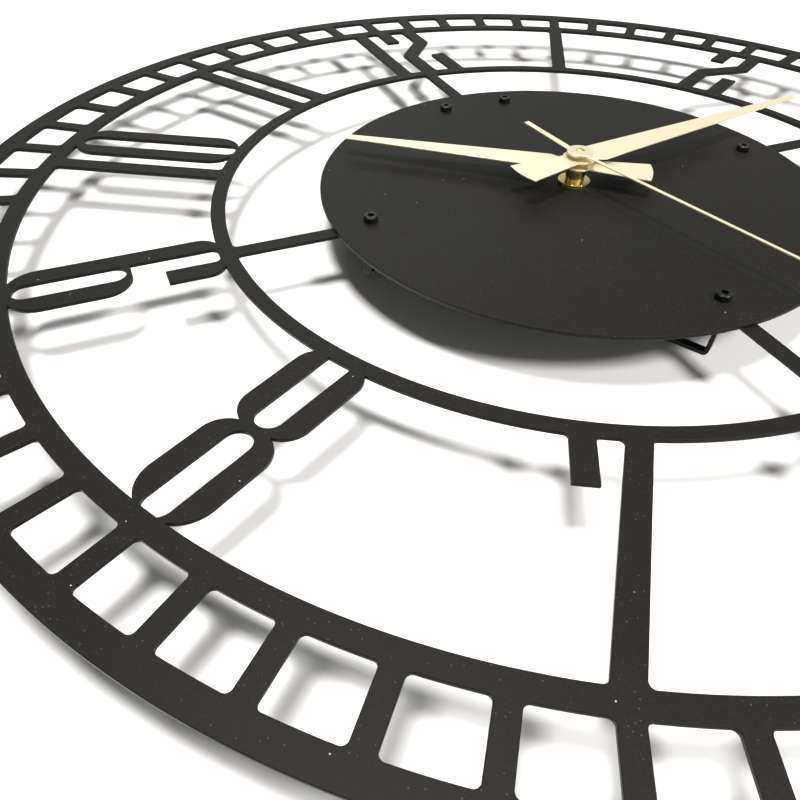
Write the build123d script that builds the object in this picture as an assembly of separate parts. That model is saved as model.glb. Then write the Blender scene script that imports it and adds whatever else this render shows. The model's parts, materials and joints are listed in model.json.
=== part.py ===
from build123d import *
from math import atan2, cos, hypot, pi, radians, sin, sqrt, tan
import os

# A 500 mm skeleton wall clock with a battery quartz movement.
#
# Everything is drawn in the dial's own frame: X towards 3 o'clock, Y towards 12
# o'clock, Z towards the person who reads it, and Z = 0 on the front of the
# skeleton sheet. to_row() then stands it up: the row's -Y faces the reader, +Z is
# up, and the origin is the hanger's round keyhole on the wall.

# ---- driving dimensions, millimetres and degrees ------------------------------
DIAL_R = 250.0            # outer radius of the dial
SHEET_T = 1.5             # steel sheet of the dial, the disc and the brackets
WALL_GAP = 20.0           # front of the skeleton to the wall

WINDOW_OUTER_R = 242.0    # minute windows, outer and inner radius
WINDOW_INNER_R = 224.0
MINUTE_BAR = 5.95         # width of the bar between two windows
MINUTES = 60
WINDOW_CORNER = 1.6
TRACK_INNER_R = 217.5     # inner edge of the minute track
INNER_RING_OUTER_R = 147.5
INNER_RING_INNER_R = 142.0
SPOKE_W = 5.75
FIXING_RING_OUTER_R = 97.0
FIXING_RING_INNER_R = 83.0
JUNCTION_FILLET = 1.6     # where numerals and spokes meet the rings

DIGIT_H = TRACK_INNER_R - INNER_RING_OUTER_R
DIGIT_W = 23.6
STROKE = 7.4
ROOT = 3.0                # how far a stroke runs into the ring
FIRST_OF_TWO_X = -12.6    # centres of the two digits in 10 and 12
SECOND_OF_TWO_X = 10.5
ELEVEN_X = 7.75           # half the distance between the bars of 11
EIGHT_X = -1.1            # 8 sits a little towards 7

DISC_R = 104.5
SCREW_CIRCLE_R = 90.0
TOP_SCREW_X = 16.3        # the two hanger screws stand either side of 12 o'clock
SCREW_R = 1.5             # M3
SCREW_HOLE_R = 1.6
SCREW_HEAD_R = 2.75
SCREW_HEAD_H = 2.4
SCREW_SOCKET_AF = 2.5
SCREW_SOCKET_DEPTH = 1.4
SCREW_LENGTH = 6.0
SCREW_CHAMFER = 0.35
THROUGH = 1.0             # a cutter runs this far past what it cuts
WELD = 0.1                # two bodies that become one overlap by this much

STRIP_W = 3.2             # bent strip of a wall bracket
BRACKET_FLANGE_W = 8.0
BRACKET_FLANGE_END = 6.5  # the flange strip ends this far beyond the screw axis
BRACKET_FOOT_LENGTH = 26.0
BRACKET_LEG_GAP = 2.0     # screw axis to the leg's inner face
BRACKET_TURN = 30.0       # the foot swings this far from the radius
BEND_R = 2.0              # outer radius of a bend
INSIDE_BEND_R = 0.5
SHEARED_R = 0.4           # softened corner of a cut end
EAR_R = 2.0               # corner of the ear around a screw

HANGER_Y = 85.0           # height of the keyhole above the dial's centre
HANGER_W = 20.0
HANGER_HALF_SPAN = 22.0
HANGER_LEG_X = 11.0
HANGER_RISE = 4.0         # the plate's middle lies this far above the keyhole
KEYHOLE_R = 5.0
KEYHOLE_SLOT_R = 2.5
KEYHOLE_RISE = 7.0

CASE_SIZE = 56.0
CASE_WALL = 1.2
CASE_CORNER = 3.0
CASE_FRONT_Z = -0.8       # a rubber gasket fills the gap to the disc
CASE_BACK_Z = -16.8
BATTERY_R = 7.0           # AA cell
BATTERY_LENGTH = 49.2
BATTERY_NUB_R = 2.75
BATTERY_NUB_H = 1.0
BATTERY_ROUNDING = 0.6
BATTERY_Y = -19.5
BATTERY_Z = -9.4
PARTITION_Y = (-12.2, -11.5)   # wall between the gears and the battery
FLOOR_T = 1.2
BACK_COVER_T = 1.2
BACK_PLATE_Z = (-14.6, -13.9)    # the two plates that hold the wheels' pivots
INNER_PLATE_Z = (-8.2, -7.6)
PLATE_CORNERS = (-21.0, 22.5, -11.2, 16.4)
PILLAR_POINTS = ((-18.6, -9.2), (20.6, -9.2), (20.6, 14.6), (-18.9, 14.6))
PILLAR_R = 1.5
PLATE_SCREW_R = 0.7

BUSHING_R = 3.95
BUSHING_TOP_Z = 7.5
BUSHING_HOLE_R = 4.1
BUSHING_FLANGE_R = 7.5      # clamps the disc from behind
NUT_R = 6.6
NUT_T = 1.0
WASHER_R = 6.4
WASHER_T = 0.4
GASKET_R = 14.0
TURNED_CHAMFER = 0.3      # edge break of the turned brass parts
NUT_SLOT = (0.9, 1.4, 0.6)    # depth from the rim, width and height of its two slots

HOUR_PIPE_R = 2.5
MINUTE_PIPE_R = 1.6
SECOND_ARBOR_R = 0.5
RUNNING_GAP = 0.05        # radial play of every running fit

HAND_T = 0.5
HOUR_HAND_Z = 8.6
MINUTE_HAND_Z = 11.1
SECOND_HAND_Z = 13.0
HOUR_HAND_ANGLE = 306.5   # clockwise from 12 o'clock, at rest
MINUTE_HAND_ANGLE = 80.9
SECOND_HAND_ANGLE = 166.4
HOUR_HAND_LENGTH = 98.0
MINUTE_HAND_LENGTH = 138.0
SECOND_HAND_LENGTH = 118.0
TAIL_LENGTH = 30.0
SECOND_TAIL_LENGTH = 31.2
SECOND_TAIL_LIFT = 2.0    # the thin tail is set slightly towards the reader

TOOTH_PART = 0.36         # tooth thickness as a part of the pitch
ADDENDUM = 0.75           # in modules
DEDENDUM = 1.1
TOOTH_FOOT = 1.35         # tooth thickness at its root and at its tip, as parts of
TOOTH_TIP = 0.62          # its thickness at the pitch circle

MOTION_DISTANCE = 12.0    # minute wheel's arbor to the hand axis
THIRD_DISTANCE = 11.9
FIFTH_DISTANCE = 8.0
ROTOR_DISTANCE = 8.4      # rotor to the fifth wheel
KNOB_DISTANCE = 12.0      # knob to the minute wheel's arbor
MINUTE_WHEEL_DIRECTION = 90.0
THIRD_DIRECTION = 28.0
FIFTH_DIRECTION = 150.0
ROTOR_DIRECTION = 160.0
KNOB_DIRECTION = 60.0

PIVOT_R = 0.4
ARBOR_R = 0.7


# ---- small helpers --------------------------------------------------------------
def polar(radius, clock_angle):
    """Point at a radius and a clockwise angle from 12 o'clock."""
    a = radians(clock_angle)
    return (radius * sin(a), radius * cos(a))


def towards(point, distance, direction):
    """Point at a distance and an anticlockwise direction from +X."""
    a = radians(direction)
    return (point[0] + distance * cos(a), point[1] + distance * sin(a))


def plate(sketch, low, thickness):
    """Flat solid of a sketch, from a height upwards."""
    return extrude(Pos(0, 0, low) * sketch, thickness, dir=(0, 0, 1))


def tube(outer, inner, low, high, at=(0, 0)):
    """Round tube or, with an inner radius of 0, a round bar."""
    ring = Circle(outer) - Circle(inner) if inner > 0 else Circle(outer)
    return plate(Pos(at[0], at[1]) * ring, low, high - low)


def block(x0, x1, y0, y1, z0, z1):
    """Box between two corners."""
    size = Box(x1 - x0, y1 - y0, z1 - z0)
    return Pos((x0 + x1) / 2, (y0 + y1) / 2, (z0 + z1) / 2) * size


def bar(x0, x1, y0, y1):
    """Rectangle between two corners."""
    return Pos((x0 + x1) / 2, (y0 + y1) / 2) * Rectangle(x1 - x0, y1 - y0)


def rounded_outline(corners):
    """Face through corners (x, y, fillet radius), in order."""
    edges = []
    starts = []
    count = len(corners)
    for i in range(count):
        x, y, radius = corners[i]
        before = corners[i - 1]
        after = corners[(i + 1) % count]
        ux, uy = before[0] - x, before[1] - y
        vx, vy = after[0] - x, after[1] - y
        ul, vl = hypot(ux, uy), hypot(vx, vy)
        ux, uy, vx, vy = ux / ul, uy / ul, vx / vl, vy / vl
        if radius <= 0:
            starts.append(((x, y), (x, y), None))
            continue
        half = atan2(abs(ux * vy - uy * vx), ux * vx + uy * vy) / 2
        back = radius / tan(half)
        bx, by = ux + vx, uy + vy
        bl = hypot(bx, by)
        reach = radius / sin(half) - radius
        middle = (x + bx / bl * reach, y + by / bl * reach)
        starts.append(((x + ux * back, y + uy * back), (x + vx * back, y + vy * back), middle))
    for i in range(count):
        enter, leave, middle = starts[i]
        if middle:
            edges.append(ThreePointArc(enter, middle, leave))
        following = starts[(i + 1) % count][0]
        if hypot(following[0] - leave[0], following[1] - leave[1]) > 1e-6:
            edges.append(Line(leave, following))
    return make_face(edges)


def slot(x, width, y0, y1):
    """Upright slot with round ends."""
    return Pos(x, (y0 + y1) / 2) * SlotOverall(y1 - y0, width, rotation=90)


def to_row(shape):
    """From the dial's frame to the row's frame."""
    stand_up = Location((0, 0, 0), (90, 0, 0))
    return Location((0, -WALL_GAP, -HANGER_Y)) * stand_up * shape


# ---- the skeleton dial ----------------------------------------------------------
HALF_W = DIGIT_W / 2
COUNTER_W = DIGIT_W - 2 * STROKE
LEFT = (-HALF_W, -HALF_W + STROKE)
RIGHT = (HALF_W - STROKE, HALF_W)
LOW = -ROOT
HIGH = DIGIT_H + ROOT
WAIST_Y = 35.3            # height of the waist of 3 and 8
STUB_TOP_Y = 52.5         # where an upper stub ends
STUB_LOW_Y = 19.7         # where a lower stub ends
LOOP_LOW_Y = 30.4         # underside of the loop of 9
LOOP_CURVE_T = 1.7        # the thin curve that closes that loop
CORNER = 9.0              # outer corner of a round digit at its waist
ROUND_ROOT = 1.6          # how far a round digit's end dips into the ring
ROUND_END_R = 11.7        # outer corner there: almost a full half circle
COUNTER_ROOT = 1.3        # how far the counter dips into the ring
COUNTER_SKIN = 1.3        # what is left above a counter that stops short of the ring
SHOULDER_R = 8.0          # outer corner of 8 at the inner ring
SHOULDER_ROOT = 2.5
FOOT_R = 7.2              # outer corner at the foot of 9
FOOT_ROOT = 1.2
FOOT_GAP_R = 2.5          # bottom of the gap between the tail and the stem of 9
FOOT_GAP_Y = 0.3


def digit_one():
    return bar(-STROKE / 2, STROKE / 2, LOW, HIGH)


def digit_zero():
    height = DIGIT_H + 2 * ROUND_ROOT
    outline = Pos(0, DIGIT_H / 2) * RectangleRounded(DIGIT_W, height, ROUND_END_R)
    return outline - slot(0, COUNTER_W, -COUNTER_ROOT, DIGIT_H - COUNTER_SKIN)


def digit_two():
    top, low = 50.0, 29.0
    s_stroke = rounded_outline([
        (RIGHT[0], HIGH, 0), (RIGHT[0], top, 1.5), (LEFT[0], low, 3.0), (LEFT[0], LOW, 0),
        (LEFT[1], LOW, 0), (LEFT[1], low - 3.5, 1.5), (RIGHT[1], top - 3.5, 3.0), (RIGHT[1], HIGH, 0),
    ])
    upper_stub = bar(*LEFT, STUB_TOP_Y, HIGH)
    lower_stub = bar(*RIGHT, LOW, 25.0)
    return s_stroke + upper_stub + lower_stub


def digit_eight():
    shoulder_y = DIGIT_H + SHOULDER_ROOT
    lower_loop = rounded_outline([
        (-HALF_W, -ROUND_ROOT, ROUND_END_R), (HALF_W, -ROUND_ROOT, ROUND_END_R),
        (HALF_W, WAIST_Y + 0.5, CORNER), (-HALF_W, WAIST_Y + 0.5, CORNER),
    ])
    upper_loop = rounded_outline([
        (-HALF_W, WAIST_Y - 0.5, CORNER), (HALF_W, WAIST_Y - 0.5, CORNER),
        (HALF_W, shoulder_y, SHOULDER_R), (-HALF_W, shoulder_y, SHOULDER_R),
    ])
    lower_counter = slot(0, COUNTER_W, -COUNTER_ROOT, WAIST_Y - 2.2)
    upper_counter = slot(0, COUNTER_W, WAIST_Y + 1.3, DIGIT_H + COUNTER_W / 2 + 0.5)
    return lower_loop + upper_loop - lower_counter - upper_counter


def digit_three():
    open_side = bar(-HALF_W - 1, LEFT[1], STUB_LOW_Y, STUB_TOP_Y)
    return digit_eight() - open_side


def digit_four():
    left = bar(*LEFT, 26.0, HIGH)
    stem = bar(*RIGHT, LOW, HIGH)
    cross = bar(-HALF_W, HALF_W, 26.0, 26.0 + STROKE)
    return left + stem + cross


def digit_five():
    return mirror(digit_two(), Plane.YZ)


def digit_nine():
    loop_top = DIGIT_H + ROUND_ROOT
    loop = rounded_outline([
        (-HALF_W, loop_top, ROUND_END_R), (-HALF_W, LOOP_LOW_Y, CORNER + 1),
        (HALF_W, LOOP_LOW_Y, 0), (HALF_W, loop_top, ROUND_END_R),
    ])
    counter = slot(0, COUNTER_W, LOOP_LOW_Y + LOOP_CURVE_T, DIGIT_H - COUNTER_SKIN)
    stem_top = LOOP_LOW_Y + 10
    foot = rounded_outline([
        (-HALF_W, -FOOT_ROOT, FOOT_R), (HALF_W, -FOOT_ROOT, FOOT_R),
        (HALF_W, stem_top, 0), (-HALF_W, stem_top, 0),
    ])
    foot_gap = rounded_outline([
        (LEFT[1], FOOT_GAP_Y, FOOT_GAP_R), (RIGHT[0], FOOT_GAP_Y, FOOT_GAP_R),
        (RIGHT[0], STUB_LOW_Y + 1, 0), (LEFT[1], STUB_LOW_Y + 1, 0),
    ])
    above_tail = bar(-HALF_W - 1, RIGHT[0], STUB_LOW_Y, stem_top + 1)
    return loop - counter + (foot - foot_gap - above_tail)


def digit_six():
    return Pos(0, DIGIT_H) * Rot(0, 0, 180) * digit_nine()


def digit_seven():
    stub = bar(-8.5, -1.0, STUB_TOP_Y, HIGH)
    stem = Polygon((-4.1, LOW), (3.5, LOW), (14.75, HIGH), (7.25, HIGH), align=None)
    return stub + stem


NUMERALS = {
    1: [(digit_one, 0.0)],
    2: [(digit_two, 0.0)],
    3: [(digit_three, 0.0)],
    4: [(digit_four, 0.0)],
    5: [(digit_five, 0.0)],
    6: [(digit_six, 0.0)],
    7: [(digit_seven, 0.0)],
    8: [(digit_eight, EIGHT_X)],
    9: [(digit_nine, 0.0)],
    10: [(digit_one, FIRST_OF_TWO_X), (digit_zero, SECOND_OF_TWO_X)],
    11: [(digit_one, -ELEVEN_X), (digit_one, ELEVEN_X)],
    12: [(digit_one, FIRST_OF_TWO_X), (digit_two, SECOND_OF_TWO_X)],
}
UPSIDE_DOWN = (4, 5, 6, 7, 8)   # the lower numerals read from the centre outwards
ROUND_DIGITS = (digit_zero, digit_three, digit_six, digit_eight, digit_nine)


def numeral(hour, rounded):
    """The round or the straight digits of one numeral, in place.

    The foot is on the inner ring or, upside down, on the track.
    """
    digits = [(digit, x) for digit, x in NUMERALS[hour] if (digit in ROUND_DIGITS) == rounded]
    shapes = [Pos(x, 0) * digit() for digit, x in digits]
    if hour in UPSIDE_DOWN:
        seat = Pos(0, TRACK_INNER_R) * Rot(0, 0, 180)
    else:
        seat = Pos(0, INNER_RING_OUTER_R)
    turn = Rot(0, 0, -30.0 * hour)
    return [turn * seat * shape for shape in shapes]


def minute_window():
    """Window of the minute track, centred on 12 o'clock, with parallel-sided bars."""
    half_step = 180.0 / MINUTES
    corners = {}
    for name, radius in (("in", WINDOW_INNER_R), ("out", WINDOW_OUTER_R)):
        along = sqrt(radius ** 2 - (MINUTE_BAR / 2) ** 2)
        a = radians(half_step)
        x = along * sin(a) - MINUTE_BAR / 2 * cos(a)
        y = along * cos(a) + MINUTE_BAR / 2 * sin(a)
        corners[name] = (x, y)
    (xi, yi), (xo, yo) = corners["in"], corners["out"]
    face = make_face([
        ThreePointArc((-xi, yi), (0, WINDOW_INNER_R), (xi, yi)),
        Line((xi, yi), (xo, yo)),
        ThreePointArc((xo, yo), (0, WINDOW_OUTER_R), (-xo, yo)),
        Line((-xo, yo), (-xi, yi)),
    ])
    return fillet(face.vertices(), WINDOW_CORNER)


def screw_points():
    """The five screw positions: 3, 6 and 9 o'clock and two beside 12."""
    top_y = sqrt(SCREW_CIRCLE_R ** 2 - TOP_SCREW_X ** 2)
    lower = [polar(SCREW_CIRCLE_R, angle) for angle in (90, 180, 270)]
    return lower + [(-TOP_SCREW_X, top_y), (TOP_SCREW_X, top_y)]


def screw_holes(radius):
    return [Pos(x, y) * Circle(radius) for x, y in screw_points()]


def skeleton_face():
    """The whole laser-cut dial as one flat face."""
    track = Circle(DIAL_R) - Circle(TRACK_INNER_R)
    window = minute_window()
    step = 360.0 / MINUTES
    track -= [Rot(0, 0, step * (k + 0.5)) * window for k in range(MINUTES)]
    inner_ring = Circle(INNER_RING_OUTER_R) - Circle(INNER_RING_INNER_R)
    fixing_ring = Circle(FIXING_RING_OUTER_R) - Circle(FIXING_RING_INNER_R)
    spoke = bar(-SPOKE_W / 2, SPOKE_W / 2, FIXING_RING_OUTER_R - 1, INNER_RING_INNER_R + 1)
    face = track + inner_ring + fixing_ring
    face += [Rot(0, 0, angle) * spoke for angle in (0, 90, 180, 270)]
    for hour in NUMERALS:
        for digit in numeral(hour, rounded=False):
            face += digit
    edges_of_band = (TRACK_INNER_R, INNER_RING_OUTER_R, INNER_RING_INNER_R)
    meeting = [
        v for v in face.vertices()
        if min(abs(hypot(v.X, v.Y) - r) for r in edges_of_band) < 1e-3
    ]
    face = fillet(meeting, JUNCTION_FILLET)
    # round digits run into the rings without fillets
    for hour in NUMERALS:
        for digit in numeral(hour, rounded=True):
            face += digit
    return face - screw_holes(SCREW_HOLE_R)


def make_skeleton():
    return plate(skeleton_face(), -SHEET_T, SHEET_T)


def make_centre_disc():
    face = Circle(DISC_R) - Circle(BUSHING_HOLE_R) - screw_holes(SCREW_HOLE_R)
    return plate(face, 0, SHEET_T)


# ---- fixings ---------------------------------------------------------------------
def disc_screw():
    """M3 cylinder-head screw with a hexagon socket, standing on the origin."""
    head = Pos(0, 0, SCREW_HEAD_H / 2) * Cylinder(SCREW_HEAD_R, SCREW_HEAD_H)
    head = chamfer(head.edges().group_by(Axis.Z)[-1], SCREW_CHAMFER)
    socket = RegularPolygon(SCREW_SOCKET_AF / 2, 6, major_radius=False)
    head -= plate(socket, SCREW_HEAD_H - SCREW_SOCKET_DEPTH, SCREW_SOCKET_DEPTH + THROUGH)
    return head + tube(SCREW_R, 0, -SCREW_LENGTH, WELD)


def make_disc_screws():
    screw = disc_screw()
    return [Pos(x, y, SHEET_T) * screw for x, y in screw_points()]


def wall_bracket(clock_angle):
    """C-shaped bent strip: a tapped flange, a leg to the wall and a foot along it."""
    top, low = -SHEET_T, -WALL_GAP
    leg_out = -BRACKET_LEG_GAP - SHEET_T
    leg_in = leg_out + SHEET_T
    foot_end = leg_out + BRACKET_FOOT_LENGTH
    strip = [
        (leg_out, low, BEND_R), (foot_end, low, SHEARED_R),
        (foot_end, low + SHEET_T, SHEARED_R), (leg_in, low + SHEET_T, INSIDE_BEND_R),
        (leg_in, top - SHEET_T, INSIDE_BEND_R), (BRACKET_FLANGE_END, top - SHEET_T, SHEARED_R),
        (BRACKET_FLANGE_END, top, SHEARED_R), (leg_out, top, BEND_R),
    ]
    profile = Plane.XZ * rounded_outline(strip)
    body = extrude(profile, STRIP_W / 2, both=True)
    ear = RectangleRounded(BRACKET_FLANGE_W, BRACKET_FLANGE_W, EAR_R)
    ear_x = leg_out + BEND_R + BRACKET_FLANGE_W / 2
    body += plate(Pos(ear_x, 0) * ear, top - SHEET_T, SHEET_T)
    body -= tube(SCREW_R, 0, top - SHEET_T - THROUGH, top + THROUGH)
    x, y = polar(SCREW_CIRCLE_R, clock_angle)
    inward = 90.0 - clock_angle + 180.0
    return Pos(x, y, 0) * Rot(0, 0, inward + BRACKET_TURN) * body


def make_hanger():
    """Hat-shaped bridge under the two top screws, with the keyhole on the wall."""
    top, low = -SHEET_T, -WALL_GAP
    leg = HANGER_LEG_X
    outside = [
        (HANGER_HALF_SPAN, top, SHEARED_R), (HANGER_HALF_SPAN, top - SHEET_T, SHEARED_R),
        (leg + SHEET_T, top - SHEET_T, INSIDE_BEND_R), (leg + SHEET_T, low, BEND_R),
    ]
    inside = [(leg, low + SHEET_T, INSIDE_BEND_R), (leg, top, BEND_R)]
    outside_left = [(-x, z, r) for x, z, r in reversed(outside)]
    inside_left = [(-x, z, r) for x, z, r in reversed(inside)]
    profile = Plane.XZ * rounded_outline(outside + outside_left + inside_left + inside)
    body = Pos(0, HANGER_Y + HANGER_RISE, 0) * extrude(profile, HANGER_W / 2, both=True)
    round_part = tube(KEYHOLE_R, 0, low - THROUGH, low + SHEET_T + THROUGH, (0, HANGER_Y))
    slot_face = Pos(0, HANGER_Y + KEYHOLE_RISE / 2) * SlotCenterToCenter(
        KEYHOLE_RISE, 2 * KEYHOLE_SLOT_R, rotation=90)
    body -= round_part
    body -= plate(slot_face, low - THROUGH, SHEET_T + 2 * THROUGH)
    for x, y in screw_points()[3:]:
        body -= tube(SCREW_R, 0, top - SHEET_T - THROUGH, top + THROUGH, (x, y))
    return body


# ---- gears -----------------------------------------------------------------------
def gear_module(distance, teeth_a, teeth_b):
    return 2 * distance / (teeth_a + teeth_b)


def gear_face(teeth, module, phase):
    """Toothed disc: straight-sided teeth, one of them pointing at the phase angle."""
    pitch_r = teeth * module / 2
    tip_r = pitch_r + ADDENDUM * module
    root_r = pitch_r - DEDENDUM * module
    half = TOOTH_PART * pi * module / 2
    foot_r = root_r - 2 * WELD
    foot, tip = half * TOOTH_FOOT, half * TOOTH_TIP
    tooth = Polygon((foot_r, foot), (pitch_r, half), (tip_r, tip),
                    (tip_r, -tip), (pitch_r, -half), (foot_r, -foot), align=None)
    step = 360.0 / teeth
    return Circle(root_r) + [Rot(0, 0, phase + step * k) * tooth for k in range(teeth)]


def mate_phase(direction, teeth, phase, mate_teeth):
    """Phase of a mate that lies in a direction, so that a gap takes the nearest tooth."""
    step = 360.0 / teeth
    slip = (direction - phase) % step
    return direction + 180.0 + 180.0 / mate_teeth + slip * teeth / mate_teeth


def gear(teeth, module, phase, low, high, at=(0, 0), bore=0.0):
    face = gear_face(teeth, module, phase)
    if bore > 0:
        face -= Circle(bore)
    return plate(Pos(at[0], at[1]) * face, low, high - low)


CENTRE = (0.0, 0.0)
MINUTE_WHEEL_AT = towards(CENTRE, MOTION_DISTANCE, MINUTE_WHEEL_DIRECTION)
THIRD_AT = towards(CENTRE, THIRD_DISTANCE, THIRD_DIRECTION)
FIFTH_AT = towards(CENTRE, FIFTH_DISTANCE, FIFTH_DIRECTION)
ROTOR_AT = towards(FIFTH_AT, ROTOR_DISTANCE, ROTOR_DIRECTION)
KNOB_AT = towards(MINUTE_WHEEL_AT, KNOB_DISTANCE, KNOB_DIRECTION)

# teeth
CANNON_TEETH, MINUTE_WHEEL_TEETH = 12, 36
MINUTE_PINION_TEETH, HOUR_WHEEL_TEETH = 10, 40
SECONDS_PINION_TEETH, THIRD_WHEEL_TEETH = 8, 60
THIRD_PINION_TEETH, CENTRE_WHEEL_TEETH = 8, 64
FIFTH_PINION_TEETH, SECONDS_WHEEL_TEETH = 8, 40
ROTOR_PINION_TEETH, FIFTH_WHEEL_TEETH = 8, 48
KNOB_PINION_TEETH = 12

# levels of the gear planes, from the front of the movement to its back
CASE_FLOOR_Z = CASE_FRONT_Z - FLOOR_T
HOUR_WHEEL_Z = (-3.5, -2.5)
MINUTE_WHEEL_Z = (-5.1, -4.2)
CENTRE_WHEEL_Z = (-6.7, -6.0)
THIRD_WHEEL_Z = (-9.3, -8.6)
SECONDS_WHEEL_Z = (-10.9, -10.2)
FIFTH_WHEEL_Z = (-12.5, -11.8)
PINION_OVERHANG = 0.2
HOUR_PIPE_TOP_Z = HOUR_HAND_Z + 1.3     # the pipes end just above their collets
MINUTE_PIPE_TOP_Z = MINUTE_HAND_Z + 1.1
SECOND_ARBOR_TOP_Z = SECOND_HAND_Z + 0.9


def widened(level):
    """A pinion is a little thicker than the wheel it drives."""
    return (level[0] - PINION_OVERHANG, level[1] + PINION_OVERHANG)


def arbor(at, back, front):
    """Arbor between two bearings, each given as (pivot end, shoulder)."""
    body = tube(ARBOR_R, 0, back[1], front[1], at)
    return body + tube(PIVOT_R, 0, back[0], front[0], at)


PIVOT_DEPTH = 0.7
END_SHAKE = 0.15          # play of an arbor between its bearings
FRONT_PIVOT = (CASE_FLOOR_Z + PIVOT_DEPTH, CASE_FLOOR_Z - END_SHAKE)
INNER_PIVOT_FROM_BACK = (INNER_PLATE_Z[1], INNER_PLATE_Z[0] - END_SHAKE)
INNER_PIVOT_FROM_FRONT = (INNER_PLATE_Z[0], INNER_PLATE_Z[1] + END_SHAKE)
BACK_PIVOT = (BACK_PLATE_Z[0], BACK_PLATE_Z[1] + END_SHAKE)


def make_cannon_pinion():
    """Minute pipe with the cannon pinion at its foot."""
    module = gear_module(MOTION_DISTANCE, CANNON_TEETH, MINUTE_WHEEL_TEETH)
    low, high = widened(MINUTE_WHEEL_Z)
    pinion = gear(CANNON_TEETH, module, MINUTE_WHEEL_DIRECTION, low, high)
    pipe = tube(MINUTE_PIPE_R, 0, low, MINUTE_PIPE_TOP_Z)
    bore = tube(SECOND_ARBOR_R + RUNNING_GAP, 0, low - THROUGH, MINUTE_PIPE_TOP_Z + THROUGH)
    return pinion + pipe - bore


def make_minute_wheel():
    """Motion-work wheel with its pinion, which drives the hour wheel."""
    wheel_module = gear_module(MOTION_DISTANCE, CANNON_TEETH, MINUTE_WHEEL_TEETH)
    pinion_module = gear_module(MOTION_DISTANCE, MINUTE_PINION_TEETH, HOUR_WHEEL_TEETH)
    phase = mate_phase(MINUTE_WHEEL_DIRECTION, CANNON_TEETH, MINUTE_WHEEL_DIRECTION,
                       MINUTE_WHEEL_TEETH)
    back = MINUTE_WHEEL_DIRECTION + 180.0
    wheel = gear(MINUTE_WHEEL_TEETH, wheel_module, phase, *MINUTE_WHEEL_Z, MINUTE_WHEEL_AT)
    low, high = widened(HOUR_WHEEL_Z)
    pinion = gear(MINUTE_PINION_TEETH, pinion_module, back, low, high, MINUTE_WHEEL_AT)
    return wheel + pinion + arbor(MINUTE_WHEEL_AT, INNER_PIVOT_FROM_FRONT, FRONT_PIVOT)


def make_hour_wheel():
    """Hour wheel with its pipe, which runs on the minute pipe."""
    module = gear_module(MOTION_DISTANCE, MINUTE_PINION_TEETH, HOUR_WHEEL_TEETH)
    phase = mate_phase(MINUTE_WHEEL_DIRECTION + 180.0, MINUTE_PINION_TEETH,
                       MINUTE_WHEEL_DIRECTION + 180.0, HOUR_WHEEL_TEETH)
    wheel = gear(HOUR_WHEEL_TEETH, module, phase, *HOUR_WHEEL_Z)
    low = HOUR_WHEEL_Z[0]
    pipe = tube(HOUR_PIPE_R, 0, low, HOUR_PIPE_TOP_Z)
    bore = tube(MINUTE_PIPE_R + RUNNING_GAP, 0, low - THROUGH, HOUR_PIPE_TOP_Z + THROUGH)
    return wheel + pipe - bore


CLUTCH_COLLAR_R = 2.0
CLUTCH_COLLAR_DEPTH = 0.6     # behind the centre wheel
CLUTCH_GAP = 0.1              # the friction spring's place, in front of the collar
LIGHTENING_R = 2.1            # four holes that lighten the wheel
LIGHTENING_CIRCLE_R = 5.6


def make_centre_wheel():
    """Wheel that turns once an hour and carries the cannon pinion by friction."""
    module = gear_module(THIRD_DISTANCE, THIRD_PINION_TEETH, CENTRE_WHEEL_TEETH)
    wheel = gear(CENTRE_WHEEL_TEETH, module, THIRD_DIRECTION, *CENTRE_WHEEL_Z)
    low, high = CENTRE_WHEEL_Z
    collar_low = low - CLUTCH_COLLAR_DEPTH
    collar_high = widened(MINUTE_WHEEL_Z)[0] - CLUTCH_GAP
    collar = tube(CLUTCH_COLLAR_R, 0, collar_low, collar_high)
    for k in range(4):
        wheel -= tube(LIGHTENING_R, 0, low - THROUGH, high + THROUGH,
                      polar(LIGHTENING_CIRCLE_R, 45.0 + 90.0 * k))
    bore = tube(SECOND_ARBOR_R + RUNNING_GAP, 0, collar_low - THROUGH, collar_high + THROUGH)
    return wheel + collar - bore


def make_third_wheel():
    wheel_module = gear_module(THIRD_DISTANCE, SECONDS_PINION_TEETH, THIRD_WHEEL_TEETH)
    pinion_module = gear_module(THIRD_DISTANCE, THIRD_PINION_TEETH, CENTRE_WHEEL_TEETH)
    pinion_phase = mate_phase(THIRD_DIRECTION, CENTRE_WHEEL_TEETH, THIRD_DIRECTION,
                              THIRD_PINION_TEETH)
    wheel_phase = mate_phase(THIRD_DIRECTION, SECONDS_PINION_TEETH, THIRD_DIRECTION,
                             THIRD_WHEEL_TEETH)
    wheel = gear(THIRD_WHEEL_TEETH, wheel_module, wheel_phase, *THIRD_WHEEL_Z, THIRD_AT)
    low, high = widened(CENTRE_WHEEL_Z)
    pinion = gear(THIRD_PINION_TEETH, pinion_module, pinion_phase, low, high, THIRD_AT)
    return wheel + pinion + arbor(THIRD_AT, BACK_PIVOT, FRONT_PIVOT)


def make_seconds_wheel():
    """Seconds wheel, its pinion and the long arbor that carries the second hand."""
    wheel_module = gear_module(FIFTH_DISTANCE, FIFTH_PINION_TEETH, SECONDS_WHEEL_TEETH)
    pinion_module = gear_module(THIRD_DISTANCE, SECONDS_PINION_TEETH, THIRD_WHEEL_TEETH)
    wheel = gear(SECONDS_WHEEL_TEETH, wheel_module, FIFTH_DIRECTION, *SECONDS_WHEEL_Z)
    low, high = widened(THIRD_WHEEL_Z)
    pinion = gear(SECONDS_PINION_TEETH, pinion_module, THIRD_DIRECTION, low, high)
    shaft = tube(SECOND_ARBOR_R, 0, SECONDS_WHEEL_Z[0] - END_SHAKE, SECOND_ARBOR_TOP_Z)
    pivot = tube(PIVOT_R, 0, BACK_PIVOT[0], SECONDS_WHEEL_Z[0])
    return wheel + pinion + shaft + pivot


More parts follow.
